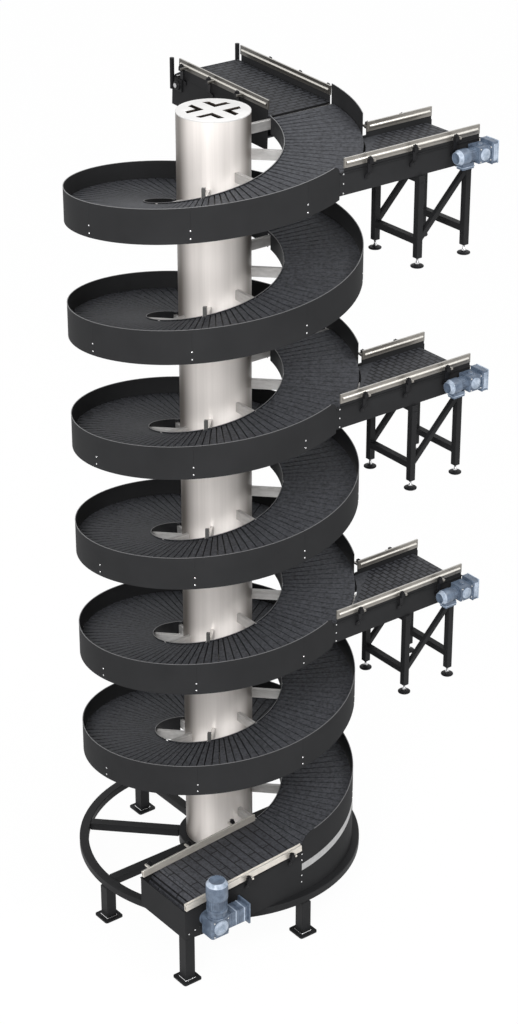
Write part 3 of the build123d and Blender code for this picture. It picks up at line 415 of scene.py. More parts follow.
# node trees for pieces that repeat
def newTree(name, inputs):
    tree = bpy.data.node_groups.new(name, "GeometryNodeTree")
    tree.interface.new_socket("Geometry", in_out="OUTPUT", socket_type="NodeSocketGeometry")
    for label, kind, value in inputs:
        socket = tree.interface.new_socket(label, in_out="INPUT", socket_type=kind)
        if value is not None:
            socket.default_value = value
    return tree


def treeNode(tree, kind, **values):
    node = tree.nodes.new(kind)
    for key, value in values.items():
        setattr(node, key, value)
    return node


def closeTree(tree, copies, given):
    real = treeNode(tree, "GeometryNodeRealizeInstances")
    finish = treeNode(tree, "GeometryNodeSetMaterial")
    out = treeNode(tree, "NodeGroupOutput")
    tree.links.new(copies.outputs[0], real.inputs[0])
    tree.links.new(real.outputs[0], finish.inputs["Geometry"])
    tree.links.new(given["Finish"], finish.inputs["Material"])
    tree.links.new(finish.outputs[0], out.inputs[0])
    return tree


def calc(tree, operation, a, b=None):
    node = treeNode(tree, "ShaderNodeMath", operation=operation)
    for place, value in enumerate((a, b)):
        if value is None:
            continue
        if isinstance(value, (int, float)):
            node.inputs[place].default_value = value
        else:
            tree.links.new(value, node.inputs[place])
    return node.outputs[0]


def runTree(name, mesh, tree, settings, body, mat):
    host = bpy.data.objects.new(name, mesh)
    scene.collection.objects.link(host)
    modifier = host.modifiers.new("build", "NODES")
    modifier.node_group = tree
    for item in tree.interface.items_tree:
        if item.item_type == "SOCKET" and item.in_out == "INPUT" and item.name in settings:
            modifier[item.identifier] = settings[item.name]
    bpy.context.view_layer.update()
    made = bpy.data.meshes.new_from_object(host.evaluated_get(bpy.context.evaluated_depsgraph_get()))
    host.modifiers.remove(modifier)
    bpy.data.objects.remove(host)
    piece = bpy.data.objects.new(name, made)
    scene.collection.objects.link(piece)
    made.name = name
    if not made.materials:
        made.materials.append(mat)
    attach(piece, body)
    return piece


def onSpots(name, tree, spots, settings, body, mat):
    mesh = bpy.data.meshes.new(name + "Spots")
    mesh.from_pydata([tuple(p) for p in spots], [], [])
    return runTree(name, mesh, tree, settings, body, mat)


def helixTree():
    tree = newTree(
        "helixPieces",
        [
            ("Piece", "NodeSocketGeometry", None),
            ("Count", "NodeSocketInt", 10),
            ("FirstAngle", "NodeSocketFloat", 0.0),
            ("AngleStep", "NodeSocketFloat", 45.0),
            ("FirstHeight", "NodeSocketFloat", 0.6),
            ("Pitch", "NodeSocketFloat", 0.0),
            ("Lean", "NodeSocketFloat", 0.0),
            ("OpenFrom", "NodeSocketFloat", 0.0),
            ("OpenEvery", "NodeSocketFloat", 720.0),
            ("OpenSpan", "NodeSocketFloat", 0.0),
            ("Finish", "NodeSocketMaterial", None),
        ],
    )
    given = treeNode(tree, "NodeGroupInput").outputs
    points = treeNode(tree, "GeometryNodePoints")
    tree.links.new(given["Count"], points.inputs["Count"])
    index = treeNode(tree, "GeometryNodeInputIndex").outputs[0]
    turn = calc(tree, "MULTIPLY", index, given["AngleStep"])
    angle = calc(tree, "ADD", turn, given["FirstAngle"])
    rise = calc(tree, "MULTIPLY", calc(tree, "DIVIDE", turn, 360.0), given["Pitch"])
    spot = treeNode(tree, "ShaderNodeCombineXYZ")
    tree.links.new(calc(tree, "ADD", rise, given["FirstHeight"]), spot.inputs[2])
    place = treeNode(tree, "GeometryNodeSetPosition")
    tree.links.new(points.outputs[0], place.inputs["Geometry"])
    tree.links.new(spot.outputs[0], place.inputs["Position"])
    past = calc(tree, "MODULO", calc(tree, "SUBTRACT", angle, given["OpenFrom"]), given["OpenEvery"])
    shut = calc(tree, "GREATER_THAN", past, given["OpenSpan"])
    early = calc(tree, "LESS_THAN", angle, 0.0)
    keep = calc(tree, "MAXIMUM", shut, early)
    swing = treeNode(tree, "ShaderNodeCombineXYZ")
    tree.links.new(given["Lean"], swing.inputs[0])
    tree.links.new(calc(tree, "RADIANS", angle), swing.inputs[2])
    copies = treeNode(tree, "GeometryNodeInstanceOnPoints")
    tree.links.new(place.outputs[0], copies.inputs["Points"])
    tree.links.new(keep, copies.inputs["Selection"])
    tree.links.new(given["Piece"], copies.inputs["Instance"])
    tree.links.new(swing.outputs[0], copies.inputs["Rotation"])
    return closeTree(tree, copies, given)


helixPieces = helixTree()

# slats of the helical chain: a plate with open seams over a near-black keel that closes them; the keel's near-black is
# painted shade in the seams
slat = {
    "perTurn": 90,
    "count": 562,
    "inside": 0.4086,
    "outside": 0.858,
    "plate": 0.0080,
    "keel": 0.014,
    "seam": 0.0038,
    "joint": 0.0002,
}
slatLean = math.atan(spiral["pitch"] / (math.pi * (slat["inside"] + slat["outside"])))
slatHalf = 180 / slat["perTurn"]


def slatWedge(top, bottom, gap):
    bm = bmesh.new()
    rings = []
    for x in (slat["inside"], slat["outside"]):
        ring = []
        for side, z in ((-1, bottom), (1, bottom), (1, top), (-1, top)):
            reach = side * (x * math.tan(math.radians(slatHalf)) - gap)
            ring.append(bm.verts.new((x, (reach + z * math.sin(slatLean)) / math.cos(slatLean), z)))
        rings.append(ring)
    for n in range(4):
        bm.faces.new((rings[0][n], rings[0][(n + 1) % 4], rings[1][(n + 1) % 4], rings[1][n]))
    bm.faces.new(rings[0])
    bm.faces.new(rings[1])
    bmesh.ops.recalc_face_normals(bm, faces=bm.faces)
    return bm


def alongHelix(name, bm, mat, slotName, **settings):
    mesh = bpy.data.meshes.new(name + "One")
    bm.to_mesh(mesh)
    bm.free()
    settings["Finish"] = mat
    return runTree(name, mesh, helixPieces, settings, "frame", mat)


slatRow = {
    "Count": slat["count"],
    "FirstAngle": spiral["startAngle"] + slatHalf,
    "AngleStep": 2 * slatHalf,
    "FirstHeight": beltLevel(spiral["startAngle"] + slatHalf),
    "Pitch": spiral["pitch"],
    "Lean": slatLean,
}
plates = alongHelix("slatPlates", slatWedge(0.0, -slat["plate"], slat["seam"]), chainPlastic, "slat_grey", **slatRow)
keels = alongHelix("slatKeels", slatWedge(-slat["plate"], -slat["keel"], slat["joint"]), shadeBlackPlastic, "slat_grey", **slatRow)
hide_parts("helix_slats")
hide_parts("helix_slats")
print("chain laid,", slat["count"], "slats")

mouth = {  # degrees from the start of the turn that a branch leaves, and the free ends of the edges
    "rivetsFrom": -73.0,
    "rivetsSpan": 44.8,
    "edgeStops": -76.4,
    "edgeStarts": -28.1,
    "infeed": 6.8,
    "outfeed": 0.1,
    "sheet": 0.5,
}
guardRivet = {"head": 0.0058, "height": 0.003, "drops": (0.025, 0.071), "step": 45.0, "count": 51}


def guardRivets():
    bm = bmesh.new()
    r = guardRivet["head"]
    h = guardRivet["height"]
    for drop in guardRivet["drops"]:
        place = Matrix.Translation((spiral["guardOutside"] - 0.0005, 0, -drop)) @ Matrix.Rotation(math.pi / 2, 4, "Y")
        addTurned(bm, [(0, 0), (r, 0), (r * 0.85, h * 0.6), (r * 0.5, h * 0.93), (0, h)], place, 12)
    bmesh.ops.recalc_face_normals(bm, faces=bm.faces)
    alongHelix(
        "guardRivets",
        bm,
        brightSteel,
        "satin_stainless",
        Count=guardRivet["count"],
        FirstAngle=spiral["startAngle"],
        AngleStep=guardRivet["step"],
        FirstHeight=spiral["startLevel"],
        Pitch=spiral["pitch"],
        OpenFrom=mouth["rivetsFrom"],
        OpenSpan=mouth["rivetsSpan"],
    )


guardRivets()
print("rivets placed")


# lighter strips along the top edges of the guard and of the inner track sheets: a painted highlight where light
# catches those edges
topEdgeLight = {"height": 0.0012, "sink": 0.0006, "over": 0.0002, "step": 1.5}


def edgeStrip(name, inside, outside, rise, runs, mat):
    bm = bmesh.new()
    for low, high in runs:
        count = max(2, int((high - low) / topEdgeLight["step"]))
        last = None
        for n in range(count + 1):
            angle = low + (high - low) * n / count
            turn = math.radians(angle)
            z = beltLevel(angle) + rise
            bottom, top = z - topEdgeLight["sink"], z + topEdgeLight["height"]
            inner, outer = inside - topEdgeLight["over"], outside + topEdgeLight["over"]
            ring = []
            for radius, level in ((inner, bottom), (inner, top), (outer, top), (outer, bottom)):
                ring.append(bm.verts.new((radius * math.cos(turn), radius * math.sin(turn), level)))
            if last:
                for i in range(4):
                    bm.faces.new((last[i], last[(i + 1) % 4], ring[(i + 1) % 4], ring[i]))
            else:
                bm.faces.new(ring)
            last = ring
        bm.faces.new(list(reversed(last)))
    finishPiece(bm, name, [mat], "frame")


def trackEdges():
    end = spiral["startAngle"] + 360 * spiral["turns"]
    runs = []
    start = spiral["startAngle"] + mouth["infeed"]
    for turn in branches.values():
        runs.append((start, 360 * turn + mouth["edgeStops"]))
        start = 360 * turn + mouth["edgeStarts"]
    runs.append((start, end - mouth["outfeed"]))
    edgeStrip("guardTopEdge", spiral["guardInside"], spiral["guardOutside"], spiral["guardRise"], runs, edgeHighlightGrey)
    runs = [(spiral["startAngle"] + mouth["sheet"], end - mouth["sheet"])]
    edgeStrip("sheetTopEdge", spiral["sheetInside"], spiral["sheetOutside"], spiral["sheetRise"], runs, edgeHighlightGrey)


trackEdges()
print("track edges laid")

# bolt and rivet heads on a plate, one tree for all of them
def headsTree():
    tree = newTree(
        "boltHeads",
        [
            ("Spots", "NodeSocketGeometry", None),
            ("Radius", "NodeSocketFloat", 0.006),
            ("Height", "NodeSocketFloat", 0.004),
            ("Sides", "NodeSocketInt", 6),
            ("Swing", "NodeSocketVector", (0.0, 0.0, 0.0)),
            ("Finish", "NodeSocketMaterial", None),
        ],
    )
    given = treeNode(tree, "NodeGroupInput").outputs
    head = treeNode(tree, "GeometryNodeMeshCone")
    tree.links.new(given["Sides"], head.inputs["Vertices"])
    tree.links.new(given["Radius"], head.inputs["Radius Bottom"])
    tree.links.new(calc(tree, "MULTIPLY", given["Radius"], 0.86), head.inputs["Radius Top"])
    tree.links.new(given["Height"], head.inputs["Depth"])
    copies = treeNode(tree, "GeometryNodeInstanceOnPoints")
    tree.links.new(given["Spots"], copies.inputs["Points"])
    tree.links.new(head.outputs["Mesh"], copies.inputs["Instance"])
    tree.links.new(given["Swing"], copies.inputs["Rotation"])
    return closeTree(tree, copies, given)


boltHeads = headsTree()
facingNear = (math.pi / 2, 0.0, 0.0)  # heads that look along -Y
plateBolts = {
    "radius": 0.0055,
    "height": 0.005,
    "branch": (0.276, -0.834),
    "drops": (0.004, -0.052, -0.108),
    "infeedFace": -0.872,
    "infeed": ((-0.884, 0.362), (-0.838, 0.375), (-0.800, 0.380), (-0.006, 0.424), (-0.006, 0.375)),
}
nearBolts = [(*plateBolts["branch"], branchLevel(name) + drop) for name in branches for drop in plateBolts["drops"]]
nearBolts += [(x, plateBolts["infeedFace"], z) for x, z in plateBolts["infeed"]]
onSpots(
    "plateBolts",
    boltHeads,
    nearBolts,
    {"Radius": plateBolts["radius"], "Height": plateBolts["height"], "Sides": 12, "Swing": facingNear, "Finish": brightSteel},
    "frame",
    brightSteel,
)
print("plate bolts placed,", len(nearBolts))


# weld bead round each leg where it meets its foot plate
weld = {"leg": 0.070, "plateTop": 0.012, "bead": 0.0035, "ring": 0.887, "infeedLeg": (-0.869, -0.831)}
legs = [(weld["ring"], 0), (-weld["ring"], 0), (0, weld["ring"]), (0, -weld["ring"]), weld["infeedLeg"]]
legSpots = [(x, y, weld["plateTop"]) for x, y in legs]


def weldTree():
    tree = newTree(
        "weldBead",
        [
            ("Spots", "NodeSocketGeometry", None),
            ("Side", "NodeSocketFloat", 0.074),
            ("Bead", "NodeSocketFloat", 0.0035),
            ("Finish", "NodeSocketMaterial", None),
        ],
    )
    given = treeNode(tree, "NodeGroupInput").outputs
    square = treeNode(tree, "GeometryNodeCurvePrimitiveQuadrilateral")
    tree.links.new(given["Side"], square.inputs["Width"])
    tree.links.new(given["Side"], square.inputs["Height"])
    fine = treeNode(tree, "GeometryNodeResampleCurve")
    fine.inputs["Count"].default_value = 64
    tree.links.new(square.outputs[0], fine.inputs["Curve"])
    profile = treeNode(tree, "GeometryNodeCurvePrimitiveCircle")
    profile.inputs["Resolution"].default_value = 8
    tree.links.new(given["Bead"], profile.inputs["Radius"])
    tube = treeNode(tree, "GeometryNodeCurveToMesh")
    tree.links.new(fine.outputs[0], tube.inputs["Curve"])
    tree.links.new(profile.outputs[0], tube.inputs["Profile Curve"])
    copies = treeNode(tree, "GeometryNodeInstanceOnPoints")
    tree.links.new(given["Spots"], copies.inputs["Points"])
    tree.links.new(tube.outputs[0], copies.inputs["Instance"])
    return closeTree(tree, copies, given)


onSpots(
    "legWelds",
    weldTree(),
    legSpots,
    {"Side": weld["leg"] + weld["bead"], "Bead": weld["bead"], "Finish": brightSteel},
    "frame",
    brightSteel,
)
print("welds laid")


# gearmotors: the main one at the infeed and one on each branch
mainDrive = {
    "boxLow": (-0.798, -1.000, 0.350),
    "boxHigh": (-0.664, -0.884, 0.484),
    "motorAt": (-0.731, -0.960),
    "adapterTop": 0.541,
    "adapterRadius": 0.055,
    "radius": 0.069,
    "barrel": 0.178,
    "dome": 0.026,
    "domeRadius": 0.050,
    "fins": 28,
    "stage": (0.010, 0.137),
    "stageHalf": 0.048,
    "stageLow": 0.024,
    "stageHigh": 0.129,
    "stageRibs": 4,
    "boltStep": 0.051,
}
branchDrive = {
    "x": 1.242,
    "y": -0.894,
    "drop": 0.052,
    "radius": 0.046,
    "barrel": 0.110,
    "dome": 0.026,
    "domeRadius": 0.032,
    "fins": 20,
    "box": 0.096,
    "boltStep": 0.038,
    "coverDeep": 0.050,
    "coverWide": 0.106,
    "coverTall": 0.130,
    "terminalStart": 0.016,
    "terminalEnd": 0.104,
    "terminalHalf": 0.0275,
    "terminalLow": 0.074,
    "terminalHigh": 0.037,
}
motorShape = {"step": 0.004, "cowlShare": 0.48, "finThick": 0.0024}


def motorBody(bm, d, place):
    r = d["radius"]
    slim = r - motorShape["step"]
    tall = d["barrel"]
    cowl = tall * motorShape["cowlShare"]
    top = tall + d["dome"]
    flat = d["domeRadius"]
    addTurned(
        bm,
        [
            (0, 0), (slim + 0.001, 0), (slim + 0.001, 0.008), (slim - 0.004, 0.0095), (slim - 0.004, cowl - 0.007),
            (slim, cowl - 0.006), (slim, cowl), (r - 0.001, cowl), (r, cowl + 0.001), (r, tall - 0.003), (r - 0.001, tall),
        ],
        place,
        48,
    )
    # the dome's chamfer in the lighter paint: painted highlight
    addTurned(bm, [(r - 0.001, tall), (r - 0.004, tall + 0.003), (flat + 0.003, top - 0.002), (flat, top)], place, 48, 1)
    addTurned(bm, [(flat, top), (flat - 0.002, top - 0.001), (0, top - 0.001)], place, 48)
    for n in range(d["fins"]):
        a = 2 * math.pi * n / d["fins"]
        turn = place @ Matrix.Rotation(a, 4, "Z")
        half = motorShape["finThick"] / 2
        addBlock(bm, (slim - 0.006, -half, 0.009), (slim - 0.0005, half, cowl - 0.0065), turn, 0)


def motorHousings():
    bm = bmesh.new()
    d = mainDrive
    motorBody(bm, d, Matrix.Translation((*d["motorAt"], d["adapterTop"])))
    for name in branches:
        b = branchDrive
        z = branchLevel(name) - b["drop"]
        start = b["x"] - b["box"] / 2
        motorBody(bm, b, Matrix.Translation((start, b["y"], z)) @ Matrix.Rotation(-math.pi / 2, 4, "Y"))
        low = (start - b["terminalEnd"], b["y"] - b["terminalHalf"], z - b["terminalLow"])
        high = (start - b["terminalStart"], b["y"] + b["terminalHalf"], z - b["terminalHigh"])
        addBlock(bm, low, high, Matrix.Identity(4), 0.004)
        # rim of the terminal box lid in the lighter paint: painted highlight
        addBlock(
            bm,
            (low[0] - 0.003, low[1] - 0.003, low[2] + 0.012),
            (high[0] + 0.003, high[1] + 0.003, low[2] + 0.017),
            Matrix.Identity(4),
            0.0015,
            1,
            1,
        )
    piece = finishPiece(bm, "motorHousings", [motorPaint, motorHighlightPaint], "frame")
    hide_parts("motor_barrels")


# castings on the gearboxes: covers, collars, ribs and rims; faces in the second slot get the lighter copy of the motor
# paint, a painted highlight
def gearboxTrim():
    bm = bmesh.new()
    d = mainDrive
    low, high = d["boxLow"], d["boxHigh"]
    midX, midZ = (low[0] + high[0]) / 2, (low[2] + high[2]) / 2
    front = Matrix.Translation((midX, low[1] + 0.001, midZ)) @ Matrix.Rotation(math.pi / 2, 4, "X")
    addTurned(
        bm,
        [(0, 0), (0.052, 0), (0.052, 0.006), (0.047, 0.010), (0.026, 0.012), (0.022, 0.009), (0, 0.009)],
        front,
        40,
        1,
    )
    top = Matrix.Translation((*d["motorAt"], high[2]))
    r = d["adapterRadius"]
    inner, outer = r - 0.004, r + 0.008
    addTurned(bm, [(inner, -0.001), (outer, -0.001), (outer, 0.007), (r + 0.004, 0.010), (inner, 0.010)], top, 40)
    rim, outer = d["adapterTop"] - high[2], r + 0.010
    addTurned(bm, [(inner, rim - 0.012), (outer, rim - 0.010), (outer, rim - 0.001), (inner, rim - 0.001)], top, 40)
    for n in range(8):
        turn = top @ Matrix.Rotation(math.pi * n / 4, 4, "Z")
        addBlock(bm, (r - 0.002, -0.003, 0.009), (r + 0.006, 0.003, rim - 0.010), turn, 0.001, 1)
    stageStart, stageEnd = (high[0] + reach for reach in d["stage"])
    stageMid = (low[1] + high[1]) / 2
    for n in range(d["stageRibs"]):
        x = stageStart + (stageEnd - stageStart) * (n + 0.5) / d["stageRibs"]
        addBlock(
            bm,
            (x - 0.004, stageMid - d["stageHalf"], low[2] + d["stageLow"]),
            (x + 0.004, stageMid + d["stageHalf"], low[2] + d["stageHigh"]),
            Matrix.Identity(4),
            0.002,
            1,
            n % 2,
        )
    for name in branches:
        b = branchDrive
        z = branchLevel(name) - b["drop"]
        end = b["x"] + b["box"] / 2
        y = b["y"]
        wide, tall, deep = b["coverWide"] / 2, b["coverTall"] / 2, b["coverDeep"]
        for share in (0.06, 0.92):
            x = end + deep * share
            addBlock(
                bm,
                (x - 0.004, y - wide - 0.003, z - tall - 0.003),
                (x + 0.004, y + wide + 0.001, z + tall + 0.003),
                Matrix.Identity(4),
                0.002,
                1,
                1 if share > 0.5 else 0,
            )
        addBlock(
            bm,
            (end + 0.012, y - wide - 0.002, z - tall + 0.014),
            (end + deep - 0.010, y - wide + 0.002, z + tall - 0.014),
            Matrix.Identity(4),
            0.001,
            1,
            1,
        )
        cover = Matrix.Translation((b["x"], y - b["box"] / 2 + 0.001, z)) @ Matrix.Rotation(math.pi / 2, 4, "X")
        addTurned(bm, [(0, 0), (0.036, 0), (0.036, 0.005), (0.032, 0.008), (0.014, 0.009), (0, 0.009)], cover, 32, 1)
        lid = Matrix.Translation((b["x"], y, z + b["box"] / 2 - 0.001))
        addTurned(bm, [(0, 0), (0.020, 0), (0.020, 0.005), (0.015, 0.009), (0, 0.009)], lid, 24)
    finishPiece(bm, "gearboxTrim", [motorPaint, motorHighlightPaint], "frame")


motorHousings()
gearboxTrim()

driveBolt = {"radius": 0.0055, "height": 0.005, "out": 0.002}


def boltCorners(x, y, z, step):
    return [(x + i * step, y - driveBolt["out"], z + j * step) for i in (-1, 1) for j in (-1, 1)]


boxMid = [(mainDrive["boxLow"][i] + mainDrive["boxHigh"][i]) / 2 for i in range(3)]
driveBolts = boltCorners(boxMid[0], mainDrive["boxLow"][1], boxMid[2], mainDrive["boltStep"])
for name in branches:
    face = branchDrive["y"] - branchDrive["box"] / 2
    driveBolts += boltCorners(branchDrive["x"], face, branchLevel(name) - branchDrive["drop"], branchDrive["boltStep"])
onSpots(
    "driveBolts",
    boltHeads,
    driveBolts,
    {"Radius": driveBolt["radius"], "Height": driveBolt["height"], "Sides": 6, "Swing": facingNear, "Finish": brightSteel},
    "frame",
    brightSteel,
)
print("motors built")


# dark cup inside the top of the column, seen through the cap, that stands in for the shade inside the tube, and a dark
# sheet inside the head of the infeed that stands in for the shade in the gap of the belt's wrap: both painted shade
darkCup = {"radius": 0.2100, "wall": 0.0012, "top": 5.1855, "deep": 0.40}
wrapGapShade = {
    "x": -0.750,
    "z": 0.436,
    "inside": 0.0978,
    "thick": 0.0005,
    "slope": 0.0785,
    "run": 0.14,
    "near": -0.857,
    "far": -0.4095,
}


# painted shade: a dark cup where the inside of the tube would lie in shade
def columnShadeCup():
    bm = bmesh.new()
    r, low, inner = darkCup["radius"], -darkCup["deep"], darkCup["radius"] - darkCup["wall"]
    cup = [(0, low), (r, low), (r, 0), (inner, 0), (inner, low + 0.002), (0, low + 0.002)]
    addTurned(bm, cup, Matrix.Translation((0, 0, darkCup["top"])), 64)
    finishPiece(bm, "columnShadeCup", [shadePaint], "frame")


# painted shade: a thin near-black sheet that closes the gap inside the head wrap, where the floor would show
def wrapShadeSheet():
    bm = bmesh.new()
    lean = math.atan(wrapGapShade["slope"])
    lines = []
    for radius in (wrapGapShade["inside"] - wrapGapShade["thick"], wrapGapShade["inside"]):
        line = []
        for step in range(5):
            along = wrapGapShade["run"] * (1 - step / 4)
            x = wrapGapShade["x"] + along * math.cos(lean) - radius * math.sin(lean)
            z = wrapGapShade["z"] + along * math.sin(lean) + radius * math.cos(lean)
            line.append((x, z))
        for step in range(1, 25):
            a = math.pi / 2 + lean + (math.pi - lean) * step / 24
            line.append((wrapGapShade["x"] + radius * math.cos(a), wrapGapShade["z"] + radius * math.sin(a)))
        lines.append(line)
    outline = lines[1] + list(reversed(lines[0]))
    near = [bm.verts.new((x, wrapGapShade["near"], z)) for x, z in outline]
    far = [bm.verts.new((x, wrapGapShade["far"], z)) for x, z in outline]
    count = len(outline)
    for n in range(count):
        m = (n + 1) % count
        bm.faces.new((near[n], near[m], far[m], far[n]))
    half = count // 2
    for row in (near, far):
        for n in range(half - 1):
            bm.faces.new((row[n], row[n + 1], row[count - 2 - n], row[count - 1 - n]))
    finishPiece(bm, "infeedWrapShade", [shadeBlackPlastic], "frame")


columnShadeCup()
wrapShadeSheet()
print("liner and hinge strip built")


# bare plates that close the gap between a channel's side plate and its rail
lip = {"thick": 0.0030, "low": 0.0131, "high": 0.0350, "end": 1.290, "sides": ((-0.4101, 0.799), (-0.8299, 0.286))}
outLip = {"low": 5.0521, "high": 5.1130, "start": 0.015, "end": 0.880, "slope": 0.05, "sides": (0.868, 0.406)}


def channelLips():
    bm = bmesh.new()
    half = lip["thick"] / 2
    for name in branches:
        z = branchLevel(name)
        for y, start in lip["sides"]:
            addBlock(bm, (start, y - half, z + lip["low"]), (lip["end"], y + half, z + lip["high"]), Matrix.Identity(4), 0)
    climb = Matrix.Identity(4)
    climb[2][1] = outLip["slope"]
    for x in outLip["sides"]:
        addBlock(bm, (x - half, outLip["start"], outLip["low"]), (x + half, outLip["end"], outLip["high"]), climb, 0)
    finishPiece(bm, "channelLips", [coat], "frame")


channelLips()
print("lips added")


# lobed clamp knobs with their pins
knob = {"radius": 0.0150, "height": 0.014, "lobes": 6, "around": 36, "pin": 0.0045, "pinTop": 0.005}


def bracketSpots():
    spots = []
    for part in sorted(nodes["clamp_knobs"].data.vertices, key=lambda v: v.co.z):
        co = part.co
        for spot in spots:
            if (Vector(spot[:3]) - co).length < 0.05:
                spot[3].append(co.copy())
                break
        else:
            spots.append([co.x, co.y, co.z, [co.copy()]])
    centres = []
    for spot in spots:
        group = spot[3]
        low = Vector([min(c[i] for c in group) for i in range(3)])
        high = Vector([max(c[i] for c in group) for i in range(3)])
        centres.append(((low.x + high.x) / 2, (low.y + high.y) / 2, low.z, high.z))
    return centres


def clampKnobs():
    bm = bmesh.new()
    tall, around, pin = knob["height"], knob["around"], knob["pin"]
    steps = ((0.55, 0.0), (0.95, 0.002), (1.0, tall * 0.5), (0.95, tall - 0.002), (0.6, tall))
    pinShape = [(0, -0.001), (pin, -0.001), (pin, 0.0035), (pin * 0.7, knob["pinTop"]), (0, knob["pinTop"])]
    for x, y, low, high in bracketSpots():
        base = (low + high) / 2 - tall / 2
        rings = []
        for share, lift in steps:
            ring = []
            for n in range(around):
                a = 2 * math.pi * n / around
                r = knob["radius"] * share * (0.9 + 0.1 * math.cos(knob["lobes"] * a))
                ring.append(bm.verts.new((x + r * math.cos(a), y + r * math.sin(a), base + lift)))
            rings.append(ring)
        bm.faces.new(list(reversed(rings[0])))
        bm.faces.new(rings[-1])
        for lower, upper in zip(rings, rings[1:]):
            for n in range(around):
                m = (n + 1) % around
                face = bm.faces.new((lower[n], lower[m], upper[m], upper[n]))
                face.smooth = True
        addTurned(bm, pinShape, Matrix.Translation((x, y, base + tall)), 10)
    piece = finishPiece(bm, "clampKnobsLobed", [knobPlastic], "frame")
    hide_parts("clamp_knobs")


clampKnobs()
print("knobs built")


# levelling feet: moulded pad, threaded stud and lock nut
pad = {"radius": 0.040, "drop": 0.678, "across": (0.845, 1.205), "along": (-0.830, -0.450)}
stud = {"radius": 0.0072, "root": 0.88, "low": 0.015, "first": 0.016, "last": 0.054, "pitch": 0.002, "top": 0.080}
nut = {"radius": 0.013, "low": 0.018, "high": 0.028}


def footShapes():
    r = pad["radius"]
    disc = [(0, 0), (r * 0.94, 0), (r * 0.985, 0.002), (r * 0.985, 0.007), (r * 0.9, 0.0095), (r * 0.45, 0.0115)]
    disc += [(r * 0.36, 0.016), (0, 0.016)]
    r, z = stud["radius"], stud["first"]
    thread = [(0, stud["low"]), (r, stud["low"])]
    while z < stud["last"]:
        thread += [(r, z), (r * stud["root"], z + stud["pitch"] / 2)]
        z += stud["pitch"]
    thread += [(r, z), (r, stud["top"]), (0, stud["top"])]
    r = nut["radius"]
    return disc, thread, [(0, nut["low"]), (r, nut["low"]), (r, nut["high"]), (0, nut["high"])]


def levellingFeet(name):
    bm = bmesh.new()
    disc, thread, lockNut = footShapes()
    low = branchLevel(name) - pad["drop"]
    for x in pad["across"]:
        for y in pad["along"]:
            place = Matrix.Translation((x, y, low))
            addTurned(bm, disc, place, 36, 0)
            addTurned(bm, thread, place, 14, 1)
            addTurned(bm, lockNut, place, 6, 1)
    piece = finishPiece(bm, name + "LevellingFeet", [knobPlastic, brightSteel], name + "_feet")
    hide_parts(name + "_branch_levelling_feet")


for name in branches:
    levellingFeet(name)
print("levelling feet built")

# floor, backdrop and light
def paleFloor():
    mesh = bpy.data.meshes.new("floor")
    bm = bmesh.new()
    bmesh.ops.create_grid(bm, x_segments=1, y_segments=1, size=60)
    bm.to_mesh(mesh)
    bm.free()
    floor = bpy.data.objects.new("floor", mesh)
    floor.location.z = -0.002
    scene.collection.objects.link(floor)
    mat = newMaterial("paleFloor", (0.86, 0.86, 0.86), 0.9)
    tree = mat.node_tree
    out = tree.nodes["Material Output"]
    glow = addNode(mat, "ShaderNodeEmission", Strength=1.0)
    path = addNode(mat, "ShaderNodeLightPath")
    most = addNode(mat, "ShaderNodeMath", operation="MAXIMUM")
    share = addNode(mat, "ShaderNodeMath", operation="MULTIPLY")
    share.inputs[1].default_value = 0.97
    mix = addNode(mat, "ShaderNodeMixShader")
    wire(mat, path.outputs["Is Camera Ray"], most.inputs[0])
    wire(mat, path.outputs["Is Glossy Ray"], most.inputs[1])
    wire(mat, most.outputs[0], share.inputs[0])
    wire(mat, share.outputs[0], mix.inputs["Fac"])
    wire(mat, shaderOf(mat).outputs[0], mix.inputs[1])
    wire(mat, glow.outputs[0], mix.inputs[2])
    wire(mat, mix.outputs[0], out.inputs["Surface"])
    mesh.materials.append(mat)


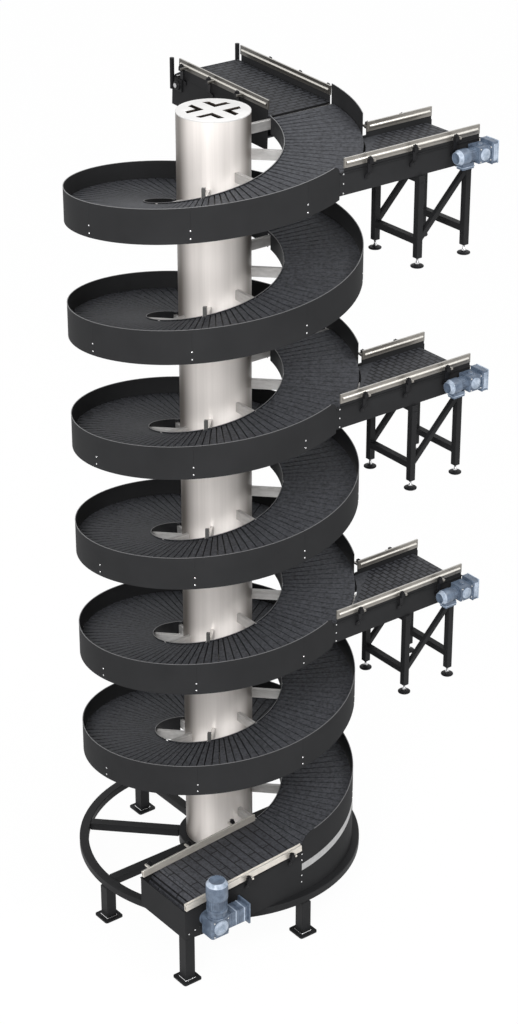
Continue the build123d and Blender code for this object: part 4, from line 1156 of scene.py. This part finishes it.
def studioLight():
    sky = {"horizon": 0.28, "top": 1.20}
    world = bpy.data.worlds.new("studio")
    world.use_nodes = True
    scene.world = world
    tree = world.node_tree
    back = tree.nodes["Background"]
    back.inputs["Color"].default_value = (1, 1, 1, 1)
    way = tree.nodes.new("ShaderNodeTexCoord")
    split = tree.nodes.new("ShaderNodeSeparateXYZ")
    span = tree.nodes.new("ShaderNodeMapRange")
    span.inputs["From Min"].default_value = 0.0
    span.inputs["From Max"].default_value = 1.0
    span.inputs["To Min"].default_value = sky["horizon"]
    span.inputs["To Max"].default_value = sky["top"]
    tree.links.new(way.outputs["Generated"], split.inputs[0])
    tree.links.new(split.outputs["Z"], span.inputs["Value"])
    tree.links.new(span.outputs["Result"], back.inputs["Strength"])
    plain = tree.nodes.new("ShaderNodeBackground")
    plain.inputs["Color"].default_value = (1, 1, 1, 1)
    plain.inputs["Strength"].default_value = 1.0
    path = tree.nodes.new("ShaderNodeLightPath")
    seen = tree.nodes.new("ShaderNodeMath")
    seen.operation = "MAXIMUM"
    clear = tree.nodes.new("ShaderNodeMath")
    clear.operation = "MAXIMUM"
    mix = tree.nodes.new("ShaderNodeMixShader")
    tree.links.new(path.outputs["Is Camera Ray"], seen.inputs[0])
    tree.links.new(path.outputs["Is Glossy Ray"], seen.inputs[1])
    tree.links.new(seen.outputs[0], clear.inputs[0])
    tree.links.new(path.outputs["Is Transmission Ray"], clear.inputs[1])
    tree.links.new(clear.outputs[0], mix.inputs["Fac"])
    tree.links.new(back.outputs[0], mix.inputs[1])
    tree.links.new(plain.outputs[0], mix.inputs[2])
    tree.links.new(mix.outputs[0], tree.nodes["World Output"].inputs["Surface"])
    lamps = {  # place, size, power
        "keyLamp": ((-8.6, -6.8, 8.0), 4.0, 1000),
        "topLamp": ((3.5, -7.0, 13.5), 4.0, 560),
    }
    for name, (spot, size, power) in lamps.items():
        lamp = bpy.data.lights.new(name, "AREA")
        lamp.size = size
        lamp.energy = power
        obj = bpy.data.objects.new(name, lamp)
        obj.location = spot
        obj.rotation_euler = (Vector((0, 0, 2.5)) - Vector(spot)).to_track_quat("-Z", "Y").to_euler()
        scene.collection.objects.link(obj)


paleFloor()
studioLight()
print("stage and light set")
